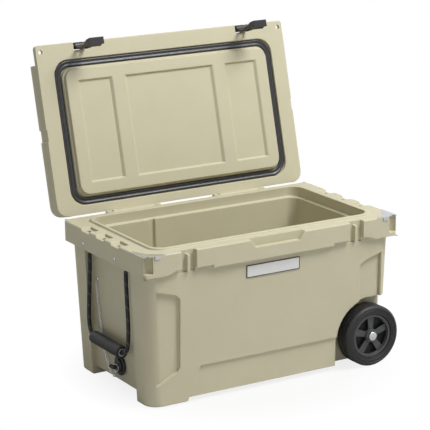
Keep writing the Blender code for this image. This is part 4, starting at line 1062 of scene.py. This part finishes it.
@dataclass
class PanScrew(SubAssembly):
    """A pan head screw with a cross recess, driven in along +X."""

    node: str
    head_height: float = 0.0022
    brim: float = 0.0004  # the straight part of the head's height
    shank: float = 0.0019
    point: float = 0.001
    cross_width: float = 0.0011
    cross_length: float = 0.0050
    cross_depth: float = 0.0012

    def build(self) -> None:
        """Models and hangs the screw."""
        low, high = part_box(self.node)
        centre = middle_of(self.node)[1:]
        head = (high[1] - low[1]) / 2
        top, seat, tip = low[0], low[0] + self.head_height, high[0]
        shank = self.shank
        crown = dome(head, top, seat - top - self.brim, 7)
        profile = [*crown, (head, seat), (shank, seat), (shank, tip - self.point), (0.0, tip)]
        screw = turned(f"{self.node}_pan_head", profile, centre, Axis.X, 28)
        for turn in (0, 1):
            slot = added(
                "cross_slot",
                bpy.ops.mesh.primitive_cube_add,
                size=1.0,
                location=(top, *centre),
                rotation=(turn * math.pi / 2, 0, 0),
                scale=(2 * self.cross_depth, self.cross_width, self.cross_length),
            )
            settle(slot)
            apply_modifier(screw, "BOOLEAN", operation="DIFFERENCE", object=slot, solver="EXACT")
            bpy.data.objects.remove(slot)
        shade(screw, 35.0)
        self.place(screw, "chest", "stainless", TURNED_STEEL, self.node)


# ---------------------------------------------------------------- wheels


@dataclass
class Wheel(SubAssembly):
    """A plastic hub with five spokes in a solid tyre with a block tread."""

    face: Face
    radius: float = 0.0755
    width: float = 0.046
    bead: float = 0.0536
    tread_base: float = 0.0741
    tread_start: float = 0.0055
    tread_rows: int = 5
    tread_steps: int = 60
    groove: float = 0.0007
    block: float = 0.0013
    slack: float = 0.0003  # how far below its base the tread is still found
    level: float = 0.2  # most share along the axle of the normal of a tread's face
    hub_edge: float = 0.0008
    painted_shade_from: float = 0.0075  # depth below the hub's rim from which its faces get the painted shade of the openings

    def build(self) -> None:
        """Models and hangs the tyre and the hub."""
        side = self.face.name.lower()
        body = f"wheel_{side}"
        self.place(self.tyre(), body, "black_tyre", TYRE, f"tyre_{side}")
        node = f"hub_{side}"
        hub = self.soften(node, f"{node}_moulding", self.hub_edge, body, "grey_hub", HUB)
        # Faces deep below the hub's rim get the second, near-black finish: painted shade in the
        # hub's openings.
        hub.data.materials.append(HUB_PAINTED_SHADE.material())
        outer = max(abs(vertex.co.y - MIDDLE_Y) for vertex in hub.data.vertices)
        for face in hub.data.polygons:
            if outer - abs(face.center.y - MIDDLE_Y) > self.painted_shade_from:
                face.material_index = 1

    @property
    def row(self) -> float:
        """Width of one row of the tread."""
        return (self.width - 2 * self.tread_start) / self.tread_rows

    def section(self) -> list[Pair]:
        """The tyre's section as (radius, distance in from its outer face)."""
        wall = [
            (self.bead, 0.0032),
            (0.0545, 0.0016),
            (0.0560, 0.0011),
            (0.0574, 0.0018),
            (0.0585, 0.0019),
            (0.0594, 0.0009),
            (0.0616, 0.0005),
            (0.0642, 0.0005),
            (0.0651, 0.0013),
            (0.0659, 0.0013),
            (0.0668, 0.0002),
            (0.0689, 0.0002),
            (0.0711, 0.0012),
            (0.0731, 0.0032),
        ]
        rows = range(self.tread_rows + 1)
        tread = [(self.tread_base, self.tread_start + self.row * index) for index in rows]
        return wall + tread + [(radius, self.width - depth) for radius, depth in reversed(wall)]

    def tyre(self) -> Piece:
        """Spins the tyre, skews its tread rows into chevrons and raises a block from each face."""
        tyre_node = f"tyre_{self.face.name.lower()}"
        low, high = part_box(tyre_node)
        outer = low[1] if self.face is Face.FRONT else high[1]
        inward = -self.face.value
        centre = Vector((middle_of(tyre_node)[0], 0.0, self.radius))
        profile = [(radius, outer + inward * depth) for radius, depth in self.section()]
        around = (centre.x, centre.z)
        tyre = turned(f"{tyre_node}_tread", profile, around, Axis.Y, self.tread_steps)
        self.skew_rows(tyre, centre)
        edit_faces(
            tyre,
            lambda face: self.on_tread(face, centre),
            lambda: bpy.ops.mesh.inset(
                thickness=self.groove, depth=self.block, use_individual=True
            ),
        )
        shade(tyre, 32.0)
        return tyre

    def reach(self, point: Vector, centre: Vector) -> float:
        """How far a point is from the axle's axis."""
        return math.hypot(point.x - centre.x, point.z - centre.z)

    def on_tread(self, face: Polygon, centre: Vector) -> bool:
        """Whether a face is one of the tread's band."""
        level = abs(face.normal.y) < self.level
        return level and self.reach(face.center, centre) > self.tread_base - self.slack

    def skew_rows(self, tyre: Piece, centre: Vector) -> None:
        """Turns every other loop of the tread by a quarter of a block."""
        low = min(vertex.co.y for vertex in tyre.data.vertices)
        turn = Matrix.Rotation(math.radians(360 / self.tread_steps / 4), 4, "Y")
        for vertex in tyre.data.vertices:
            if self.reach(vertex.co, centre) < self.tread_base - self.slack:
                continue
            index = round((vertex.co.y - low - self.tread_start) / self.row)
            vertex.co = about(centre, turn if index % 2 else turn.inverted()) @ vertex.co


# ---------------------------------------------------------------- rope and chain


def bent_grid(name: str, around: int, along: int, shape: Callable[[float, float], Vector]) -> Piece:
    """Bends a flat grid to a surface, and welds the edges that meet.

    Args:
        name: The piece's name.
        around: Cells across the grid.
        along: Cells down it.
        shape: Gives the place of a point from its shares across and down, both 0 to 1.

    Returns:
        The piece, whose UV map holds those two shares.
    """
    obj = added(
        name, bpy.ops.mesh.primitive_grid_add, x_subdivisions=around, y_subdivisions=along, size=2.0
    )
    for vertex in obj.data.vertices:
        vertex.co = shape((vertex.co.x + 1) / 2, (vertex.co.y + 1) / 2)
    edit(
        obj,
        lambda: bpy.ops.mesh.remove_doubles(threshold=SEAM),
        lambda: bpy.ops.mesh.fill_holes(sides=0),
        *FACE_OUTWARDS,
    )
    return obj


@dataclass
class BraidedRope:
    """A tube of eight strands each way, woven over and under each other."""

    name: str
    line: list[Vector]
    radius: float = 0.0050  # should be TowHandle.rope_radius, which is 1 mm more
    strands: int = 8
    pitch: float = 0.028  # along the rope for one turn of a strand
    relief: float = 0.0006
    roundness: float = 0.6  # of a strand's back: less is flatter
    dome_length: float = 0.8  # of the rounding of an end, in radii
    dome_least: float = 0.08  # square of the share of the radius that is left at its tip
    around: int = 32
    step: float = 0.0008

    def build(self) -> Piece:
        """Weaves the tube along its line."""
        length = line_length(self.line)
        rings = max(4, round(length / self.step))
        path = smooth_line([tuple(point) for point in self.line], length / rings)
        frames = steady_frames(path, Vector((1.0, 0.0, 0.0)))
        last = len(path) - 1

        def shape(across: float, down: float) -> Vector:
            """Place of a point of the braid's surface."""
            index = min(last, round(down * last))
            height = self.weave(across, down * length / self.pitch)
            reach = self.radius - self.relief * (1 - height)
            reach *= self.taper(down * length, length)
            _, side, other = frames[index]
            angle = 2 * math.pi * across
            return path[index] + (side * math.cos(angle) + other * math.sin(angle)) * reach

        rope = bent_grid(self.name, self.around, last, shape)
        for loop in rope.data.uv_layers["UVMap"].data:
            loop.uv.y *= length / self.pitch
        shade(rope, 60.0)
        return rope

    def weave(self, across: float, turns: float) -> float:
        """Height of the weave from 0 to 1, with each family of strands on top in turn."""
        one = math.cos(math.pi * self.strands * (across + turns))
        other = math.cos(math.pi * self.strands * (across - turns))
        over = 0.5 + 0.5 * one * other
        return abs(one) ** self.roundness * over + abs(other) ** self.roundness * (1 - over)

    def taper(self, place: float, length: float) -> float:
        """Draws the last few millimetres of each end in to a dome."""
        left = min(place, length - place) / self.radius / self.dome_length
        return 1.0 if left > 1.0 else math.sqrt(max(self.dome_least, 1 - (1 - left) ** 2))


@dataclass
class TowHandle(SubAssembly):
    """A rope loop hung under the rim, through a rubber grip lined with a tube."""

    rope_route: tuple[Point, ...] = (
        (-0.3325, 0.0900, 0.3117),
        (-0.3326, 0.0905, 0.2840),
        (-0.3330, 0.0930, 0.2490),
        (-0.3335, 0.0962, 0.2140),
        (-0.3340, 0.0985, 0.1790),
        (-0.3348, 0.0985, 0.1490),
        (-0.3355, 0.0930, 0.1250),
        (-0.3363, 0.0770, 0.1114),
        (-0.3365, 0.0600, 0.1100),
        (-0.3365, 0.0270, 0.1100),
        (-0.3365, 0.0, 0.1100),
    )
    line_step: float = 0.004  # between the points of the rope's line
    rope_radius: float = 0.0060
    grip_radius: float = 0.0150
    grip_half: float = 0.070
    liner_bore: float = 0.0070
    liner_radius: float = 0.0098
    grip_round: float = 0.0024
    ridges: int = 14
    ridge_depth: float = 0.00018
    ridge_margin: float = 0.012
    liner_gap: float = 0.00005
    liner_lip: float = 0.0004

    def build(self) -> None:
        """Models and hangs the rope, its grip and what holds its ends."""
        half = [(x, y + MIDDLE_Y, z) for x, y, z in self.rope_route]
        mirrored = [(x, MIDDLE_Y - y, z) for x, y, z in self.rope_route[:-1]]
        line = smooth_line([*half, *mirrored[::-1]], self.line_step)
        rope = BraidedRope("tow_rope_braid", line).build()
        self.place(rope, "tow_handle", "rope", BRAID, "tow_rope")
        grip, liner = self.grip(), self.liner()
        self.place(grip, "tow_handle", "black_rubber", GRIP_RUBBER, "tow_grip")
        self.place(liner, "tow_handle", "black_rubber", LINER)
        line_length(line)
        for face in Face:
            node = f"rope_end_{face.name.lower()}"
            low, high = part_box(node)
            x, y, _ = middle_of(node)
            stub = [Vector((x, y, low[2] + (high[2] - low[2]) * step / 8)) for step in range(9)]
            self.place(BraidedRope(f"{node}_braid", stub).build(), "chest", "rope", BRAID, node)
            PanScrew(f"rope_screw_{face.name.lower()}").build()

    def grip(self) -> Piece:
        """The grip: a rubber tube with rounded ends and shallow rings for the fingers."""
        half, radius, soft = self.grip_half, self.grip_radius, self.grip_round
        end = [
            (radius - soft * (1 - math.cos(angle)), half - soft * (1 - math.sin(angle)))
            for angle in (math.radians(90 - 15 * step) for step in range(7))
        ]
        middle = []
        reach = half - self.ridge_margin
        for index in range(self.ridges * 4 + 1):
            place = reach - 2 * reach * index / (self.ridges * 4)
            dip = self.ridge_depth * (1 - math.cos(2 * math.pi * index / 4)) / 2
            middle.append((radius - dip, place))
        outside = [*end, *middle, *[(r, -y) for r, y in reversed(end)]]
        closed = [(self.liner_radius, half), *outside, (self.liner_radius, -half)]
        profile = [(r, y + MIDDLE_Y) for r, y in closed]
        grip = turned("tow_grip_rubber", profile, self.grip_centre(), Axis.Y, 40)
        shade(grip, 50.0)
        return grip

    def liner(self) -> Piece:
        """The tube inside the grip, whose pale ends show as rings."""
        lip, inner, outer = self.liner_lip, self.liner_bore, self.liner_radius - self.liner_gap
        half = self.grip_half - lip
        end = [(inner, half - lip), (inner + lip, half), (outer - lip, half), (outer, half - lip)]
        profile = [*end, *[(radius, -y) for radius, y in reversed(end)]]
        shifted = [(radius, y + MIDDLE_Y) for radius, y in profile]
        liner = turned("tow_grip_liner", shifted, self.grip_centre(), Axis.Y, 40)
        shade(liner, 50.0)
        return liner

    def grip_centre(self) -> Pair:
        """Where the grip's axis passes, in X and Z."""
        x, _, z = middle_of("tow_grip")
        return (x, z)


@dataclass
class Drain(SubAssembly):
    """The drain fitting, its plug, and the chain and split ring that keep the plug."""

    chain_route: tuple[Point, ...] = (
        (-0.3226, 0.0790, 0.2410),
        (-0.3221, 0.0782, 0.2280),
        (-0.3210, 0.0750, 0.1950),
        (-0.3197, 0.0690, 0.1550),
        (-0.3187, 0.0630, 0.1200),
        (-0.3180, 0.0570, 0.0900),
        (-0.3181, 0.0450, 0.0600),
        (-0.3196, 0.0290, 0.0410),
        (-0.3231, 0.0070, 0.0325),
        (-0.3271, -0.0115, 0.0335),
        (-0.3303, -0.0205, 0.0460),
    )
    edge: float = 0.0005
    chain_width: float = 0.0060
    wire: float = 0.00145
    link_pitch: float = 0.0066
    ring_radius: float = 0.0085
    ring_wire: float = 0.0010
    ring_turn: float = 20.0
    coil_gap: float = 0.00012
    coil_round: Pair = (0.92, 0.95)  # size of a coil's wire, across and along the ring
    coil_arc: float = 140.0
    loose_points: int = 12  # of the chain's line, at its ring end

    def build(self) -> None:
        """Models the pieces, and hangs all of them but the chain."""
        edge, plastic = self.edge, "black_plastic"
        self.soften("drain_fitting", "drain_fitting_moulding", edge, "chest", plastic, FITTING)
        self.soften("drain_nut", "drain_nut_moulding", edge, "chest", plastic, FITTING)
        self.soften("drain_gasket", "drain_gasket_disc", edge / 2, "chest", "black_rubber", GASKET)
        self.soften("drain_plug", "drain_plug_moulding", edge, "drain_plug", plastic, FITTING)
        ring = self.place(self.split_ring(), "plug_ring", "zinc_chain", ZINC, "plug_ring")
        PanScrew("chain_screw").build()
        self.chain(ring)

    def split_ring(self) -> Piece:
        """A ring of two coils side by side, hung round the plug's stem."""
        coil, arc = self.ring_wire / 2, self.coil_arc
        out, along = self.coil_round
        profile = []
        for side, first in ((1, -arc / 2), (-1, 180 - arc / 2)):
            for step in range(9):
                angle = math.radians(first + arc * step / 8)
                radius = self.ring_radius + self.ring_wire * math.sin(angle) * out
                height = side * (coil - self.coil_gap / 2) + coil * math.cos(angle) * along
                profile.append((radius, height))
        ring = turned("plug_split_ring", profile, (0.0, 0.0), Axis.X, 44)
        turn = Matrix.Rotation(math.radians(self.ring_turn), 4, "Z")
        ring.data.transform(Matrix.Translation(middle_of("plug_ring")) @ turn)
        shade(ring, 50.0)
        return ring

    def link(self) -> Piece:
        """One oval link, its long way along X."""
        major = (self.chain_width - self.wire) / 2
        link = added(
            "link",
            bpy.ops.mesh.primitive_torus_add,
            major_segments=12,
            minor_segments=6,
            major_radius=major,
            minor_radius=self.wire / 2,
        )
        stretch = (self.link_pitch + 2 * self.wire) / 2 - self.chain_width / 2
        for vertex in link.data.vertices:
            if abs(vertex.co.x) > major / 10:
                vertex.co.x += math.copysign(stretch, vertex.co.x)
        shade(link, 80.0)
        return link

    def chain(self, ring: Piece) -> None:
        """Links along the route, each a quarter turn from the last, from the chest to the ring."""
        route = [(x, y + MIDDLE_Y, z) for x, y, z in self.chain_route]
        line = smooth_line(route, self.link_pitch)
        frames = steady_frames(line, Vector((0.0, 1.0, 0.0)))
        pattern = self.link()
        links = []
        for index, (start, stop) in enumerate(zip(line, line[1:])):
            along, side, other = frames[index]
            turn = Matrix((along, side, other)).transposed().to_4x4()
            quarter = Matrix.Rotation(math.radians(45 + 90 * (index % 2)), 4, "X")
            place = Matrix.Translation((start + stop) / 2) @ turn @ quarter
            links.append(copy_of(pattern, f"link_{index:02d}", place))
        bpy.data.objects.remove(pattern)
        chain = join(links, "plug_chain_links")
        self.finish(chain, "zinc_chain", ZINC, "plug_chain")
        line_length(line)
        start, end = tuple(line[-self.loose_points]), tuple(line[-1])
        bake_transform(chain)
        LOG.info("%s from chest to ring: %d links", chain.name, len(links))


# ---------------------------------------------------------------- studio


@dataclass
class Studio:
    """A white floor and surround, soft lamps and the camera."""

    target: Point = (-0.0429, MIDDLE_Y, 0.3799)
    azimuth: float = -30.478
    elevation: float = 14.739
    roll: float = -0.710
    distance: float = 4.4369
    lens: float = 156.55
    sensor: float = 36.0
    far_clip: float = 50.0
    floor_size: float = 14.0
    floor_drop: float = 0.0005  # below the wheels and feet, so that nothing flickers on it
    paper: str = "#D9D9D8"
    paper_roughness: float = 0.9
    surround: float = 0.20
    shadow_reach: Pair = (0.28, 0.42)  # between which the floor's shadow fades out
    shadow_fade: float = 0.82

    def build(self) -> None:
        """Sets up the floor, the surround, the lamps and the camera."""
        bpy.context.scene.view_settings.view_transform = "Standard"
        self.floor()
        self.surroundings()
        self.lamp("key lamp", (1.25, -1.60, 3.35), 1.6, 132.0)
        self.lamp("fill lamp", (-2.6, -2.6, 1.6), 2.2, 6.0)
        self.lamp("back lamp", (-0.8, 2.6, 2.6), 1.8, 26.0)
        self.camera()

    def floor(self) -> None:
        """A pale floor, which keeps the chest's shadow and is white to the camera elsewhere."""
        drop = (0.0, 0.0, -self.floor_drop)
        floor = added(
            "studio_floor", bpy.ops.mesh.primitive_plane_add, size=self.floor_size, location=drop
        )
        settle(floor)
        material = bpy.data.materials.new("Studio paper")
        material.use_nodes = True
        nodes = Nodes(material.node_tree)
        paper = nodes.tree.nodes["Principled BSDF"]
        paper.inputs["Base Color"].default_value = linear(self.paper)
        paper.inputs["Roughness"].default_value = self.paper_roughness
        camera_ray = nodes.add("LightPath").outputs["Is Camera Ray"]
        place = nodes.add("TexCoord").outputs["Object"]
        middle = (0.0, MIDDLE_Y, 0.0)
        offset = nodes.add("VectorMath", {1: middle}, {0: place}, operation="DISTANCE")
        fade = nodes.ramp(offset.outputs["Value"], self.shadow_reach, (self.shadow_fade, 1.0))
        share = nodes.maths("MULTIPLY", camera_ray, fade)
        glow = nodes.add("Emission", {"Color": WHITE, "Strength": 1.0})
        mixed = nodes.add("MixShader", links={0: share, 1: paper.outputs[0], 2: glow.outputs[0]})
        output = nodes.tree.nodes["Material Output"]
        nodes.tree.links.new(mixed.outputs[0], output.inputs["Surface"])
        floor.data.materials.append(material)

    def surroundings(self) -> None:
        """A world that is white to the eye and in reflections, and a dimmer even light."""
        world = bpy.data.worlds.new("Studio surround")
        bpy.context.scene.world = world
        world.use_nodes = True
        nodes = Nodes(world.node_tree)
        rays = nodes.add("LightPath").outputs
        seen = nodes.maths("MAXIMUM", rays["Is Camera Ray"], rays["Is Glossy Ray"])
        white = nodes.maths("MAXIMUM", seen, rays["Is Transmission Ray"])
        level = nodes.ramp(white, (0.0, 1.0), (self.surround, 1.0))
        background = nodes.tree.nodes["Background"]
        background.inputs["Color"].default_value = WHITE
        nodes.tree.links.new(level, background.inputs["Strength"])

    def lamp(self, name: str, place: Point, size: float, watts: float) -> None:
        """A square soft box that faces the middle of the chest."""
        lamp = added(name, bpy.ops.object.light_add, type="AREA", location=place)
        lamp.data.energy = watts
        lamp.data.size = size
        towards = Vector(self.target) - Vector(place)
        lamp.rotation_euler = towards.to_track_quat("-Z", "Y").to_euler()

    def camera(self) -> None:
        """Looks from the front left, a little above the lid's middle."""
        turn, rise = math.radians(self.azimuth), math.radians(self.elevation)
        roll = math.radians(self.roll)
        level = math.cos(rise)
        back = Vector((math.sin(turn) * level, -math.cos(turn) * level, math.sin(rise)))
        right = Vector((0.0, 0.0, 1.0)).cross(back).normalized()
        above = back.cross(right)
        across = math.cos(roll) * right + math.sin(roll) * above
        upward = math.cos(roll) * above - math.sin(roll) * right
        place = Vector(self.target) + back * self.distance
        camera = added("view", bpy.ops.object.camera_add, location=place)
        camera.data.lens = self.lens
        camera.data.sensor_width = self.sensor
        camera.data.clip_end = self.far_clip
        camera.rotation_euler = Matrix((across, upward, back)).transposed().to_euler()
        bpy.context.scene.camera = camera


# ---------------------------------------------------------------- entry


def main() -> None:
    """Builds every sub-assembly in order."""
    logging.basicConfig(level=logging.INFO, format="%(name)s: %(message)s")
    Studio().build()
    TowHandle().build()
    Drain().build()
    ChestBody().build()
    Lid().build()
    for hand in Hand:
        Latch(hand).build()
        CornerPlate(hand).build()
    for face in Face:
        Wheel(face).build()
    Badge().build()
    Hardware().build()


if __name__ == "__main__":
    main()
